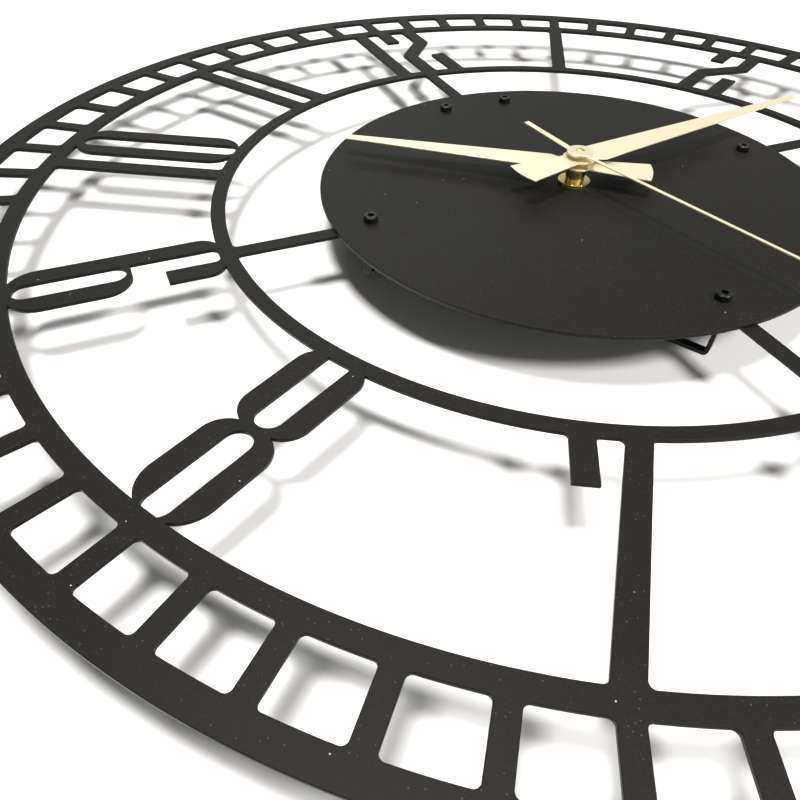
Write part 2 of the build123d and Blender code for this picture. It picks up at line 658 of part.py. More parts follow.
def make_fifth_wheel():
    wheel_module = gear_module(ROTOR_DISTANCE, ROTOR_PINION_TEETH, FIFTH_WHEEL_TEETH)
    pinion_module = gear_module(FIFTH_DISTANCE, FIFTH_PINION_TEETH, SECONDS_WHEEL_TEETH)
    pinion_phase = mate_phase(FIFTH_DIRECTION, SECONDS_WHEEL_TEETH, FIFTH_DIRECTION,
                              FIFTH_PINION_TEETH)
    wheel = gear(FIFTH_WHEEL_TEETH, wheel_module, ROTOR_DIRECTION, *FIFTH_WHEEL_Z, FIFTH_AT)
    low, high = widened(SECONDS_WHEEL_Z)
    pinion = gear(FIFTH_PINION_TEETH, pinion_module, pinion_phase, low, high, FIFTH_AT)
    return wheel + pinion + arbor(FIFTH_AT, BACK_PIVOT, INNER_PIVOT_FROM_BACK)


ROTOR_MAGNET_R = 2.6
ROTOR_MAGNET_Z = (-10.9, -9.0)


def make_rotor_pinion():
    module = gear_module(ROTOR_DISTANCE, ROTOR_PINION_TEETH, FIFTH_WHEEL_TEETH)
    phase = mate_phase(ROTOR_DIRECTION, FIFTH_WHEEL_TEETH, ROTOR_DIRECTION, ROTOR_PINION_TEETH)
    low, high = widened(FIFTH_WHEEL_Z)
    pinion = gear(ROTOR_PINION_TEETH, module, phase, low, high, ROTOR_AT)
    return pinion + arbor(ROTOR_AT, BACK_PIVOT, INNER_PIVOT_FROM_BACK)


def make_rotor_magnet():
    return tube(ROTOR_MAGNET_R, ARBOR_R, *ROTOR_MAGNET_Z, ROTOR_AT)


# ---- stepping motor and electronics --------------------------------------------------
COIL_R = 2.9
COIL_LENGTH = 13.0
COIL_AT = (-16.5, 20.5)
STATOR_GAP = 0.5          # air gap around the rotor magnet
STATOR_RING_W = 1.8
STATOR_Z = (-10.3, -9.6)
STATOR_ARM = 1.6          # half the width of an arm
STATOR_FOOT = 2.4         # half the width of an arm where it meets the ring
CORE_Z = (-9.6, -8.8)
CORE_HALF_W = 1.2
BOBBIN_R = 1.9
BOBBIN_FLANGE_T = 0.8
BOBBIN_FLANGE_R = 3.4
COIL_ROUNDING = 0.45      # corner of the coil's section, as a part of its half width


def make_stator():
    """Laminated stator: an arm to each end of the coil and a ring around the rotor."""
    x, y = ROTOR_AT
    cx, cy = COIL_AT
    reach = COIL_LENGTH / 2 + STATOR_ARM
    top = cy + STATOR_ARM
    left_x, right_x = cx - reach, cx + reach
    hole_r = ROTOR_MAGNET_R + STATOR_GAP
    ring = Pos(x, y) * Circle(hole_r + STATOR_RING_W)
    foot_low, foot_high = y - STATOR_FOOT, y + STATOR_FOOT
    left = rounded_outline([
        (left_x - STATOR_ARM, top, 1.0), (left_x - STATOR_ARM, y - 1.0, 1.0), (x, foot_low, 0),
        (x, foot_high, 0), (left_x + STATOR_ARM, y + 3.4, 0.6), (left_x + STATOR_ARM, top, 0.6),
    ])
    right = rounded_outline([
        (right_x + STATOR_ARM, top, 1.0), (right_x - STATOR_ARM, top, 0.6),
        (right_x - STATOR_ARM, y + 4.6, 0.6), (x, foot_high, 0), (x, foot_low, 0),
        (right_x + STATOR_ARM, y + 1.8, 1.0),
    ])
    face = ring + left + right - Pos(x, y) * Circle(hole_r)
    return plate(face, STATOR_Z[0], STATOR_Z[1] - STATOR_Z[0])


def make_coil_core():
    """Soft-iron core that lies on the stator's two arms."""
    cx, cy = COIL_AT
    half = COIL_LENGTH / 2 + 2 * STATOR_ARM
    return block(cx - half, cx + half, cy - CORE_HALF_W, cy + CORE_HALF_W, *CORE_Z)


def coil_bar(radius, half_length):
    """Bar with a rounded square section along the core."""
    section = Plane.YZ * RectangleRounded(2 * radius, 2 * radius, radius * COIL_ROUNDING)
    bar_solid = extrude(section, half_length, both=True)
    return Pos(COIL_AT[0], COIL_AT[1], sum(CORE_Z) / 2) * bar_solid


def make_coil_bobbin():
    half = COIL_LENGTH / 2
    body = coil_bar(BOBBIN_R, half)
    ends = coil_bar(BOBBIN_FLANGE_R, half)
    ends -= coil_bar(BOBBIN_FLANGE_R + THROUGH, half - BOBBIN_FLANGE_T)
    return body + ends - make_coil_core()


def make_coil_winding():
    half = COIL_LENGTH / 2 - BOBBIN_FLANGE_T
    return coil_bar(COIL_R, half) - coil_bar(BOBBIN_R, half + THROUGH)


BOARD = (11.0, 26.2, 17.6, 26.2)      # x and y limits of the circuit board
BOARD_Z = (-9.8, -9.0)
CRYSTAL_R = 1.0
CRYSTAL_LENGTH = 6.0
CRYSTAL_AT = (15.4, 24.2)
CHIP_R = 2.6
CHIP_H = 1.0
CHIP_AT = (22.2, 21.6)


def make_circuit_board():
    x0, x1, y0, y1 = BOARD
    return block(x0, x1, y0, y1, *BOARD_Z)


def make_quartz_crystal():
    """Tuning-fork crystal can, lying on the back of the board."""
    can = Rot(0, 90, 0) * Cylinder(CRYSTAL_R, CRYSTAL_LENGTH)
    can = fillet(can.edges().group_by(Axis.X)[-1], 0.3)
    return Pos(*CRYSTAL_AT, BOARD_Z[0] - CRYSTAL_R) * can


def make_clock_chip():
    """Blob of epoxy over the clock's bare chip."""
    ball_r = (CHIP_R ** 2 + CHIP_H ** 2) / (2 * CHIP_H)
    ball = Pos(0, 0, ball_r - CHIP_H) * Sphere(ball_r)
    blob = ball & Pos(0, 0, -CHIP_H) * Box(3 * CHIP_R, 3 * CHIP_R, 2 * CHIP_H)
    return Pos(*CHIP_AT, BOARD_Z[0]) * blob


def make_battery():
    half = BATTERY_LENGTH / 2
    can = Rot(0, 90, 0) * Cylinder(BATTERY_R, BATTERY_LENGTH)
    can = fillet(can.edges().filter_by(GeomType.CIRCLE), BATTERY_ROUNDING)
    nub = Rot(0, 90, 0) * Cylinder(BATTERY_NUB_R, 2 * BATTERY_NUB_H)
    nub = Pos(half, 0, 0) * nub
    return Pos(-BATTERY_NUB_H / 2, BATTERY_Y, BATTERY_Z) * (can + nub)


CONTACT_T = 0.35
CONTACT_W = 8.0
CONTACT_ENDS = (6.0, 3.6, 1.0)   # half heights: the leaf's end, where it bows, its flat
PLUS_BOW = 0.65                  # how far each leaf reaches to the battery
MINUS_BOW = 0.75


def battery_contact(wall, side, bow):
    """Springy leaf in the end wall of the battery bay, bowed towards the battery."""
    end, bend, flat = CONTACT_ENDS
    top = wall - side * bow
    outer = [(wall, -end), (wall, -bend), (top, -flat), (top, flat), (wall, bend), (wall, end)]
    inner = [(x - side * CONTACT_T, z) for x, z in reversed(outer)]
    leaf = extrude(Plane.XZ * Polygon(*outer, *inner, align=None), CONTACT_W / 2, both=True)
    return Pos(0, BATTERY_Y, BATTERY_Z) * leaf


def make_contact_plus():
    return battery_contact(CASE_SIZE / 2 - CASE_WALL, 1, PLUS_BOW)


def make_contact_minus():
    return battery_contact(-CASE_SIZE / 2 + CASE_WALL, -1, MINUS_BOW)


# ---- movement case --------------------------------------------------------------------
COVER_Z = (CASE_BACK_Z, CASE_BACK_Z + BACK_COVER_T)
POST_R = 1.8
KNOB_R = 5.0
KNOB_T = 1.4
KNOB_Z = CASE_BACK_Z - 0.4
KNOB_SHAFT_R = 1.2
KNOB_GROOVES = 20
KNOB_GROOVE_R = 0.6
KNOB_BOSS_WALL = 0.9
KNOB_BOSS_BACK_Z = -3.6
KNOB_SHAFT_FRONT_Z = -2.3
VENT_SLOTS = 4
VENT_FIRST_X = -16.0
VENT_PITCH = 3.0
VENT_W = 1.4
VENT_Y = (-8.0, 2.0)


def make_movement_case():
    """Open-backed moulded case with posts, pivot holes and a battery bay."""
    depth = CASE_FRONT_Z - CASE_BACK_Z
    outer = plate(RectangleRounded(CASE_SIZE, CASE_SIZE, CASE_CORNER), CASE_BACK_Z, depth)
    inner_size = CASE_SIZE - 2 * CASE_WALL
    hollow = RectangleRounded(inner_size, inner_size, CASE_CORNER - CASE_WALL)
    body = outer - plate(hollow, CASE_BACK_Z - THROUGH, CASE_FLOOR_Z - CASE_BACK_Z + THROUGH)
    half = inner_size / 2
    body += block(-half, half, *PARTITION_Y, COVER_Z[1], CASE_FLOOR_Z)
    for x, y in PILLAR_POINTS:
        body += tube(POST_R, PLATE_SCREW_R, INNER_PLATE_Z[1], CASE_FLOOR_Z, (x, y))
    body += tube(KNOB_SHAFT_R + KNOB_BOSS_WALL, KNOB_SHAFT_R + RUNNING_GAP,
                 KNOB_BOSS_BACK_Z, CASE_FLOOR_Z, KNOB_AT)
    body -= tube(BUSHING_R, 0, CASE_FLOOR_Z - THROUGH, CASE_FRONT_Z + THROUGH)
    for at in (MINUTE_WHEEL_AT, THIRD_AT):
        pivot_end = CASE_FLOOR_Z + PIVOT_DEPTH + RUNNING_GAP
        body -= tube(PIVOT_R + RUNNING_GAP, 0, CASE_FLOOR_Z - THROUGH, pivot_end, at)
    # the cover drops into a rebate behind the gears
    rebate = bar(-CASE_SIZE / 2 + CASE_WALL / 2, CASE_SIZE / 2 - CASE_WALL / 2,
                 PARTITION_Y[0], CASE_SIZE / 2 - CASE_WALL / 2)
    return body - plate(rebate, CASE_BACK_Z - THROUGH, BACK_COVER_T + THROUGH)


def make_back_cover():
    """Cover over the gears; the battery bay stays open beside it."""
    edge = CASE_SIZE / 2 - CASE_WALL / 2
    low_y = PARTITION_Y[0]
    sheet = Pos(0, (edge + low_y) / 2) * RectangleRounded(2 * edge, edge - low_y, 1.0)
    cover = plate(sheet, COVER_Z[0], BACK_COVER_T)
    low, high = COVER_Z[0] - THROUGH, COVER_Z[1] + THROUGH
    cover -= tube(KNOB_SHAFT_R + RUNNING_GAP, 0, low, high, KNOB_AT)
    for k in range(VENT_SLOTS):
        x = VENT_FIRST_X + VENT_PITCH * k
        cover -= block(x, x + VENT_W, *VENT_Y, low, high)
    return cover


def plate_outline():
    x0, x1, y0, y1 = PLATE_CORNERS
    return Pos((x0 + x1) / 2, (y0 + y1) / 2) * RectangleRounded(x1 - x0, y1 - y0, 2.0)


def drilled(solid, radius, points, level):
    for at in points:
        solid -= tube(radius, 0, level[0] - THROUGH, level[1] + THROUGH, at)
    return solid


def make_inner_plate():
    level = INNER_PLATE_Z
    body = plate(plate_outline(), level[0], level[1] - level[0])
    body = drilled(body, PIVOT_R + RUNNING_GAP, (MINUTE_WHEEL_AT, FIFTH_AT, ROTOR_AT), level)
    body = drilled(body, ARBOR_R + RUNNING_GAP, (THIRD_AT,), level)
    body = drilled(body, SECOND_ARBOR_R + RUNNING_GAP, (CENTRE,), level)
    return drilled(body, PLATE_SCREW_R, PILLAR_POINTS, level)


def make_back_plate():
    level = BACK_PLATE_Z
    body = plate(plate_outline(), level[0], level[1] - level[0])
    pivots = (CENTRE, THIRD_AT, FIFTH_AT, ROTOR_AT)
    body = drilled(body, PIVOT_R + RUNNING_GAP, pivots, level)
    return drilled(body, PLATE_SCREW_R, PILLAR_POINTS, level)


def make_plate_pillars():
    low, high = BACK_PLATE_Z[1], INNER_PLATE_Z[0]
    return [tube(PILLAR_R, PLATE_SCREW_R, low, high, at) for at in PILLAR_POINTS]


PLATE_SCREW_GRIP = 2.5        # length inside a post of the case
PLATE_SCREW_HEAD_R = 1.3
PLATE_SCREW_HEAD_H = 0.7
PLATE_SCREW_GROOVE_W = 0.4


def make_plate_screws():
    under_head = BACK_PLATE_Z[0]
    top_of_head = under_head - PLATE_SCREW_HEAD_H
    reach, half = PLATE_SCREW_HEAD_R + THROUGH, PLATE_SCREW_GROOVE_W / 2
    screws = []
    for x, y in PILLAR_POINTS:
        shank = tube(PLATE_SCREW_R, 0, under_head, INNER_PLATE_Z[1] + PLATE_SCREW_GRIP, (x, y))
        head = tube(PLATE_SCREW_HEAD_R, 0, top_of_head, under_head, (x, y))
        groove = block(x - reach, x + reach, y - half, y + half,
                       top_of_head - THROUGH, top_of_head + PLATE_SCREW_HEAD_H / 2)
        screws.append(shank + head - groove)
    return screws


def make_setting_knob():
    """Knob behind the case; turning it moves the hour and minute hands."""
    module = gear_module(MOTION_DISTANCE, CANNON_TEETH, MINUTE_WHEEL_TEETH)
    wheel_phase = mate_phase(MINUTE_WHEEL_DIRECTION, CANNON_TEETH, MINUTE_WHEEL_DIRECTION,
                             MINUTE_WHEEL_TEETH)
    phase = mate_phase(KNOB_DIRECTION, MINUTE_WHEEL_TEETH, wheel_phase, KNOB_PINION_TEETH)
    low, high = widened(MINUTE_WHEEL_Z)
    pinion = gear(KNOB_PINION_TEETH, module, phase, low, high, KNOB_AT)
    shaft = tube(KNOB_SHAFT_R, 0, KNOB_Z, KNOB_SHAFT_FRONT_Z, KNOB_AT)
    disc = Circle(KNOB_R)
    groove = Pos(KNOB_R + KNOB_GROOVE_R / 2, 0) * Circle(KNOB_GROOVE_R)
    disc -= [Rot(0, 0, 360.0 / KNOB_GROOVES * k) * groove for k in range(KNOB_GROOVES)]
    knob = plate(Pos(*KNOB_AT) * disc, KNOB_Z - KNOB_T, KNOB_T)
    return pinion + shaft + knob


# ---- what is seen around the hand shaft --------------------------------------------------
def make_gasket():
    return tube(GASKET_R, BUSHING_FLANGE_R, CASE_FRONT_Z, 0)


def make_bushing():
    body = tube(BUSHING_R, 0, CASE_FLOOR_Z, BUSHING_TOP_Z)
    body = chamfer(body.edges().group_by(Axis.Z)[-1], TURNED_CHAMFER)
    body += tube(BUSHING_FLANGE_R, 0, CASE_FRONT_Z, 0)
    bore = tube(HOUR_PIPE_R + RUNNING_GAP, 0, CASE_FLOOR_Z - THROUGH, BUSHING_TOP_Z + THROUGH)
    return body - bore


def make_dial_washer():
    return tube(WASHER_R, BUSHING_R, SHEET_T, SHEET_T + WASHER_T)


def make_round_nut():
    """Thin round nut with two slots for a pin spanner."""
    low = SHEET_T + WASHER_T
    high = low + NUT_T
    across, along, deep = NUT_SLOT
    nut = tube(NUT_R, 0, low, high)
    nut = fillet(nut.edges().group_by(Axis.Z)[-1], TURNED_CHAMFER)
    nut -= tube(BUSHING_R, 0, low - THROUGH, high + THROUGH)
    for x in (-NUT_R, NUT_R):
        nut -= block(x - across, x + across, -along / 2, along / 2, high - deep, high + THROUGH)
    return nut


# ---- hands ----------------------------------------------------------------------------
HUB_R = {"hour": 6.75, "minute": 6.5, "second": 5.25}
BLADE_SHOULDER = {"hour": (11.2, 6.4), "minute": (9.4, 6.6)}
BLADE_TIP_HALF = {"hour": 1.9, "minute": 1.6}
BLADE_NECK_HALF = 4.6
SHOULDER_RISE = 3.6       # from the neck to the widest point of a blade
TAIL_NECK_HALF = 3.9
TAIL_END_HALF = 7.6


def broad_hand(name, length, hole_r):
    """Tapered blade, round hub and flared tail, pointing at 12 o'clock."""
    shoulder_y, shoulder_half = BLADE_SHOULDER[name]
    tip_half = BLADE_TIP_HALF[name]
    right = [
        (tip_half, length, 1.0), (shoulder_half, shoulder_y, 1.5),
        (BLADE_NECK_HALF, shoulder_y - SHOULDER_RISE, 2.0), (BLADE_NECK_HALF, 0, 0),
    ]
    left = [(-x, y, radius) for x, y, radius in reversed(right)]
    blade = rounded_outline(right + left)
    corner_y = -sqrt(TAIL_LENGTH ** 2 - TAIL_END_HALF ** 2)
    tail = make_face([
        Line((TAIL_NECK_HALF, 0), (TAIL_END_HALF, corner_y)),
        ThreePointArc((TAIL_END_HALF, corner_y), (0, -TAIL_LENGTH), (-TAIL_END_HALF, corner_y)),
        Line((-TAIL_END_HALF, corner_y), (-TAIL_NECK_HALF, 0)),
        Line((-TAIL_NECK_HALF, 0), (TAIL_NECK_HALF, 0)),
    ])
    return blade + tail + Circle(HUB_R[name]) - Circle(hole_r)


COLLET_SHOULDER_T = 0.8
COLLET_RIM_T = 0.3


def hand_collet(pipe_r, sheet_z, shoulder_r, rim_r, neck_r):
    """Pressed tube that grips the pipe, riveted through the hand's sheet."""
    top = sheet_z + HAND_T
    collet = tube(shoulder_r, 0, sheet_z - COLLET_SHOULDER_T, sheet_z)
    collet += tube(neck_r, 0, sheet_z - WELD, top)
    collet += tube(rim_r, 0, top, top + COLLET_RIM_T)
    return collet - tube(pipe_r, 0, sheet_z - 2 * THROUGH, top + THROUGH)


HOUR_NECK_R = 2.85
MINUTE_NECK_R = 1.95


def make_hour_hand():
    face = broad_hand("hour", HOUR_HAND_LENGTH, HOUR_NECK_R)
    return Rot(0, 0, -HOUR_HAND_ANGLE) * plate(face, HOUR_HAND_Z, HAND_T)


def make_hour_collet():
    return hand_collet(HOUR_PIPE_R, HOUR_HAND_Z, 3.4, 3.15, HOUR_NECK_R)


def make_minute_hand():
    face = broad_hand("minute", MINUTE_HAND_LENGTH, MINUTE_NECK_R)
    return Rot(0, 0, -MINUTE_HAND_ANGLE) * plate(face, MINUTE_HAND_Z, HAND_T)


def make_minute_collet():
    return hand_collet(MINUTE_PIPE_R, MINUTE_HAND_Z, 2.5, 2.3, MINUTE_NECK_R)


SECOND_SHEET_T = 0.3
SECOND_HUB_T = 0.9
SECOND_HALF_W = (0.95, 0.55)     # at the hub and at the tip
SECOND_TAIL_HALF_W = 1.25
SECOND_NECK_R = 0.85
SECOND_NECK_DROP = 0.5    # the gripping tube reaches this far under the sheet
SECOND_ROOT_Y = -4.05     # the tail starts under the hub and bends just outside it
SECOND_BEND_Y = -5.45
SECOND_ROUNDING = 0.3
CAP_R = 1.8
CAP_H = 0.6
CAP_ROUNDING = 0.5


def make_second_hand():
    """Thin blade with a tail that rises a little towards the reader."""
    wide, narrow = SECOND_HALF_W
    blade = rounded_outline([
        (-wide, 0, 0), (-narrow, SECOND_HAND_LENGTH, 0.5), (narrow, SECOND_HAND_LENGTH, 0.5),
        (wide, 0, 0),
    ])
    face = blade + Circle(HUB_R["second"] - 2 * SECOND_ROUNDING) - Circle(SECOND_NECK_R)
    flat = plate(face, SECOND_HAND_Z, SECOND_SHEET_T)
    z0, z1 = SECOND_HAND_Z, SECOND_HAND_Z + SECOND_TAIL_LIFT
    under = [(SECOND_ROOT_Y, z0), (SECOND_BEND_Y, z0), (-SECOND_TAIL_LENGTH, z1)]
    over = [(y, z + SECOND_SHEET_T) for y, z in reversed(under)]
    side = Polygon(*under, *over, align=None)
    tail = extrude(Plane.YZ * side, SECOND_TAIL_HALF_W, both=True)
    return Rot(0, 0, -SECOND_HAND_ANGLE) * (flat + tail)


def make_second_hub():
    """Round weight on the second hand, with the tube that grips the arbor."""
    low = SECOND_HAND_Z + SECOND_SHEET_T
    disc = tube(HUB_R["second"], 0, low, low + SECOND_HUB_T)
    disc = fillet(disc.edges().group_by(Axis.Z)[-1], SECOND_ROUNDING)
    disc += tube(SECOND_NECK_R, 0, SECOND_HAND_Z - SECOND_NECK_DROP, low)
    return disc - tube(SECOND_ARBOR_R, 0, SECOND_HAND_Z - THROUGH, SECOND_ARBOR_TOP_Z)


def make_second_cap():
    """Small domed cap over the end of the arbor."""
    low = SECOND_HAND_Z + SECOND_SHEET_T + SECOND_HUB_T
    cap = tube(CAP_R, 0, low, low + CAP_H)
    return fillet(cap.edges().group_by(Axis.Z)[-1], CAP_ROUNDING)


# ---- the nodes ---------------------------------------------------------------------------
NODES = {
    "skeleton_dial": make_skeleton,
    "centre_disc": make_centre_disc,
    "disc_screws": make_disc_screws,
    "hanger_bracket": make_hanger,
    "wall_bracket_right": lambda: wall_bracket(90.0),
    "wall_bracket_bottom": lambda: wall_bracket(180.0),
    "wall_bracket_left": lambda: wall_bracket(270.0),
    "rubber_gasket": make_gasket,
    "threaded_bushing": make_bushing,
    "dial_washer": make_dial_washer,
    "round_nut": make_round_nut,
    "movement_case": make_movement_case,
    "movement_back_cover": make_back_cover,
    "inner_bearing_plate": make_inner_plate,
    "back_bearing_plate": make_back_plate,
    "plate_pillars": make_plate_pillars,
    "plate_screws": make_plate_screws,
    "motor_stator": make_stator,
    "coil_core": make_coil_core,
    "coil_bobbin": make_coil_bobbin,
    "coil_winding": make_coil_winding,
    "circuit_board": make_circuit_board,
    "quartz_crystal": make_quartz_crystal,
    "clock_chip": make_clock_chip,
    "battery_contact_plus": make_contact_plus,
    "battery_contact_minus": make_contact_minus,
    "battery": make_battery,
    "rotor_magnet": make_rotor_magnet,
    "rotor_pinion": make_rotor_pinion,
    "fifth_wheel": make_fifth_wheel,
    "seconds_wheel": make_seconds_wheel,
    "third_wheel": make_third_wheel,
    "centre_wheel": make_centre_wheel,
    "cannon_pinion": make_cannon_pinion,
    "minute_wheel": make_minute_wheel,
    "hour_wheel": make_hour_wheel,
    "setting_knob": make_setting_knob,
    "hour_hand": make_hour_hand,
    "hour_hand_collet": make_hour_collet,
    "minute_hand": make_minute_hand,
    "minute_hand_collet": make_minute_collet,
    "second_hand": make_second_hand,
    "second_hand_hub": make_second_hub,
    "second_hand_cap": make_second_cap,
}


def main():
    os.makedirs("parts", exist_ok=True)
    for name, make in NODES.items():
        made = make()
        pieces = made if isinstance(made, list) else [made]
        shape = Compound(children=[to_row(piece) for piece in pieces])
        export_step(shape, f"parts/{name}.step")


main()
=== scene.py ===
"""Looks of a 500 mm skeleton wall clock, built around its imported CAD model.

Everything is in metres in the model's own frame: -Y faces the reader, +Z is up,
and the wall is the plane Y = 0.
"""

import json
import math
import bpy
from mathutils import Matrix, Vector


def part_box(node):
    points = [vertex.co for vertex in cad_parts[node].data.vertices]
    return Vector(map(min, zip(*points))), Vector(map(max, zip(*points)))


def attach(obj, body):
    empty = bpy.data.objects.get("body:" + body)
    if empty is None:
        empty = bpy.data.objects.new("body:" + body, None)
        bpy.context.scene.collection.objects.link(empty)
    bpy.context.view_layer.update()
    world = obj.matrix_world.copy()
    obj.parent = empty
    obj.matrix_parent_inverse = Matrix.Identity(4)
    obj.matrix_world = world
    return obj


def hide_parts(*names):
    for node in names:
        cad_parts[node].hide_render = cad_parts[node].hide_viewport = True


bl_info = {
    "name": "Skeleton Wall Clock",
    "version": (1, 0, 0),
    "blender": (4, 5, 0),
    "location": "3D View > Sidebar > Wall Clock",
    "description": "Finishes, rounded sheets, turned fittings and studio for a skeleton wall clock",
    "category": "Add Mesh",
}

import bmesh
import bpy
from bpy.props import FloatProperty, FloatVectorProperty, PointerProperty
from mathutils import Matrix, Vector
from mathutils.geometry import delaunay_2d_cdt

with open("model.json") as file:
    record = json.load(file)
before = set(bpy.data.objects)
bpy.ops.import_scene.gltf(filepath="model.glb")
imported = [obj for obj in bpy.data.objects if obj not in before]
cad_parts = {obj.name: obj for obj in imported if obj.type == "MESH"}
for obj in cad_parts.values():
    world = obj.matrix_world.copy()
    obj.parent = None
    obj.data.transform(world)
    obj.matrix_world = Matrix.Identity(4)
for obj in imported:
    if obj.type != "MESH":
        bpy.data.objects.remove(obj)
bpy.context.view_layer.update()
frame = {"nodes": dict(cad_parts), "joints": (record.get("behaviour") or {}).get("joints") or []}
NODES = frame["nodes"]
JOINTS = {joint["name"]: joint for joint in frame["joints"]}
CENTRE = Vector(JOINTS["minute_hand_turn"]["pos_m"])
KNOB = Vector(JOINTS["setting_knob_turn"]["pos_m"])
MM = 0.001
FRONT = Vector((0, -1, 0))


# ---- shader maths -------------------------------------------------------------------
class Value:
    """A shader socket that takes Python arithmetic: each operator adds one Math node."""

    def __init__(self, tree, socket):
        self.tree = tree
        self.socket = socket

    def _maths(self, operation, first, second):
        inputs = {0: first, 1: second}
        return self.tree.node("ShaderNodeMath", {"operation": operation}, inputs)

    def __add__(self, other):
        return self._maths("ADD", self, other)

    def __sub__(self, other):
        return self._maths("SUBTRACT", self, other)

    def __mul__(self, other):
        return self._maths("MULTIPLY", self, other)

    def __truediv__(self, other):
        return self._maths("DIVIDE", self, other)

    def __pow__(self, other):
        return self._maths("POWER", self, other)

    def __gt__(self, other):
        return self._maths("GREATER_THAN", self, other)

    def __lt__(self, other):
        return self._maths("LESS_THAN", self, other)

    def __rsub__(self, other):
        return self._maths("SUBTRACT", other, self)

    def __rtruediv__(self, other):
        return self._maths("DIVIDE", other, self)

    def __rpow__(self, other):
        return self._maths("POWER", other, self)

    __radd__ = __add__
    __rmul__ = __mul__


class NodeTree:
    """A tree of shader nodes: node() adds any node, and feed() sets or links a socket."""

    def __init__(self, owner):
        owner.use_nodes = True
        self.nodes = owner.node_tree.nodes
        self.links = owner.node_tree.links
        self.nodes.clear()

    def feed(self, socket, value):
        if isinstance(value, Value):
            self.links.new(value.socket, socket)
        else:
            socket.default_value = value

    def node(self, kind, settings=None, inputs=None, output=0):
        """Add a node: its settings first, then the values or links of its sockets.

        What comes back is the chosen output; an output node has none.
        """
        made = self.nodes.new(kind)
        for setting, value in (settings or {}).items():
            setattr(made, setting, value)
        for socket, value in (inputs or {}).items():
            self.feed(made.inputs[socket], value)
        return Value(self, made.outputs[output]) if made.outputs else None


class Finish(NodeTree):
    """One material with a Principled surface."""

    MIX_FACTOR, MIX_A, MIX_B, MIX_RESULT = 0, 6, 7, 2    # the colour sockets of a Mix node

    def __init__(self, name, **surface):
        self.material = bpy.data.materials.new(name)
        super().__init__(self.material)
        self.surface = self.node("ShaderNodeBsdfPrincipled")
        self.node("ShaderNodeOutputMaterial")
        self.show(self.surface)
        self.place = self.node("ShaderNodeTexCoord", output="Object")
        self.cover(**surface)

    def show(self, shader):
        """Link a shader to the material's output, in place of an earlier one."""
        self.feed(self.nodes["Material Output"].inputs["Surface"], shader)

    def cover(self, **surface):
        """Feed the surface shader; base_color=... means its Base Color socket."""
        for name, value in surface.items():
            words = name.replace("_", " ").title().replace("Ior", "IOR")
            if isinstance(value, tuple):
                value = (*value, 1.0)
            self.feed(self.surface.socket.node.inputs[words], value)

    def noise(self, size, detail=2.0, where=None):
        """Noise between 0 and 1 whose features are about one size across, in metres."""
        inputs = {"Vector": where or self.place, "Scale": 1.0 / size, "Detail": detail}
        return self.node("ShaderNodeTexNoise", inputs=inputs)

    def cells(self, size, output, where=None):
        """Cells one size across, in metres: Distance from a cell's middle or its Color."""
        inputs = {"Vector": where or self.place, "Scale": 1.0 / size}
        return self.node("ShaderNodeTexVoronoi", inputs=inputs, output=output)

    def dots(self, cell, radius, bare):
        """Round dots in some of the cells: a dot's radius in cells, the share left bare."""
        chance = self.node("ShaderNodeSeparateColor", inputs={0: self.cells(cell, "Color")})
        return (self.cells(cell, "Distance") < radius) * (chance > bare)

    def stretched(self, scale, turn=(0.0, 0.0, 0.0)):
        """The place turned by Euler angles, then scaled along each axis."""
        inputs = {"Vector": self.place, "Rotation": turn, "Scale": scale}
        return self.node("ShaderNodeMapping", inputs=inputs)

    def mix(self, mask, first, second):
        """Colour that goes from first to second as the mask goes from 0 to 1."""
        colours = [c if isinstance(c, Value) else (*c, 1.0) for c in (first, second)]
        inputs = {self.MIX_FACTOR: mask, self.MIX_A: colours[0], self.MIX_B: colours[1]}
        return self.node("ShaderNodeMix", {"data_type": "RGBA"}, inputs, self.MIX_RESULT)

    def band(self, value, low, high):
        """0 below low, 1 above high, and a smooth step between them."""
        settings = {"interpolation_type": "SMOOTHSTEP"}
        inputs = {"Value": value, "From Min": low, "From Max": high}
        return self.node("ShaderNodeMapRange", settings, inputs)

    def axis(self, name):
        """One coordinate of the place, in metres."""
        return self.node("ShaderNodeSeparateXYZ", inputs={0: self.place}, output=name)

    def relief(self, height, depth, strength=1.0):
        """Bump of a height between 0 and 1 that is depth metres deep."""
        inputs = {"Height": height, "Distance": depth, "Strength": strength}
        self.cover(normal=self.node("ShaderNodeBump", inputs=inputs))


def shade(colour, factor):
    """The colour made darker or lighter by a factor."""
    return tuple(channel * factor for channel in colour)


# ---- finishes -------------------------------------------------------------------------
def powder_coat(colours):
    """Matt powder coat: orange-peel grain, slow tone changes and a few pale specks."""
    made = Finish("powder_coat", specular_ior_level=0.14)
    grain = made.noise(0.42 * MM, 3.0)
    peel = made.noise(1.5 * MM, 1.0)
    tone = made.noise(60 * MM, 2.0)
    body = made.mix(tone, shade(colours.coat, 0.9), shade(colours.coat, 1.12))
    body = made.mix(made.band(grain, 0.42, 0.75), body, shade(colours.coat, 1.9))
    dust = made.dots(1.3 * MM, 0.13, 0.7)
    specks = made.dots(4.5 * MM, 0.042, 0.82)
    body = made.mix(dust, body, shade(colours.coat, 10.0))
    made.cover(base_color=made.mix(specks, body, colours.speck))
    made.cover(roughness=0.5 + 0.12 * grain + 0.05 * tone)
    made.relief(0.7 * grain + 0.6 * peel, 0.07 * MM, 0.55)
    return made.material


def black_oxide(colours):
    """Blackened steel with light wear."""
    made = Finish("black_oxide", metallic=0.55)
    wear = made.band(made.noise(0.8 * MM, 3.0), 0.55, 0.8)
    made.cover(base_color=made.mix(wear, shade(colours.coat, 0.7), (0.11, 0.105, 0.095)))
    made.cover(roughness=0.34 + 0.2 * made.noise(0.4 * MM))
    made.relief(made.noise(0.25 * MM, 2.0), 0.01 * MM, 0.4)
    return made.material


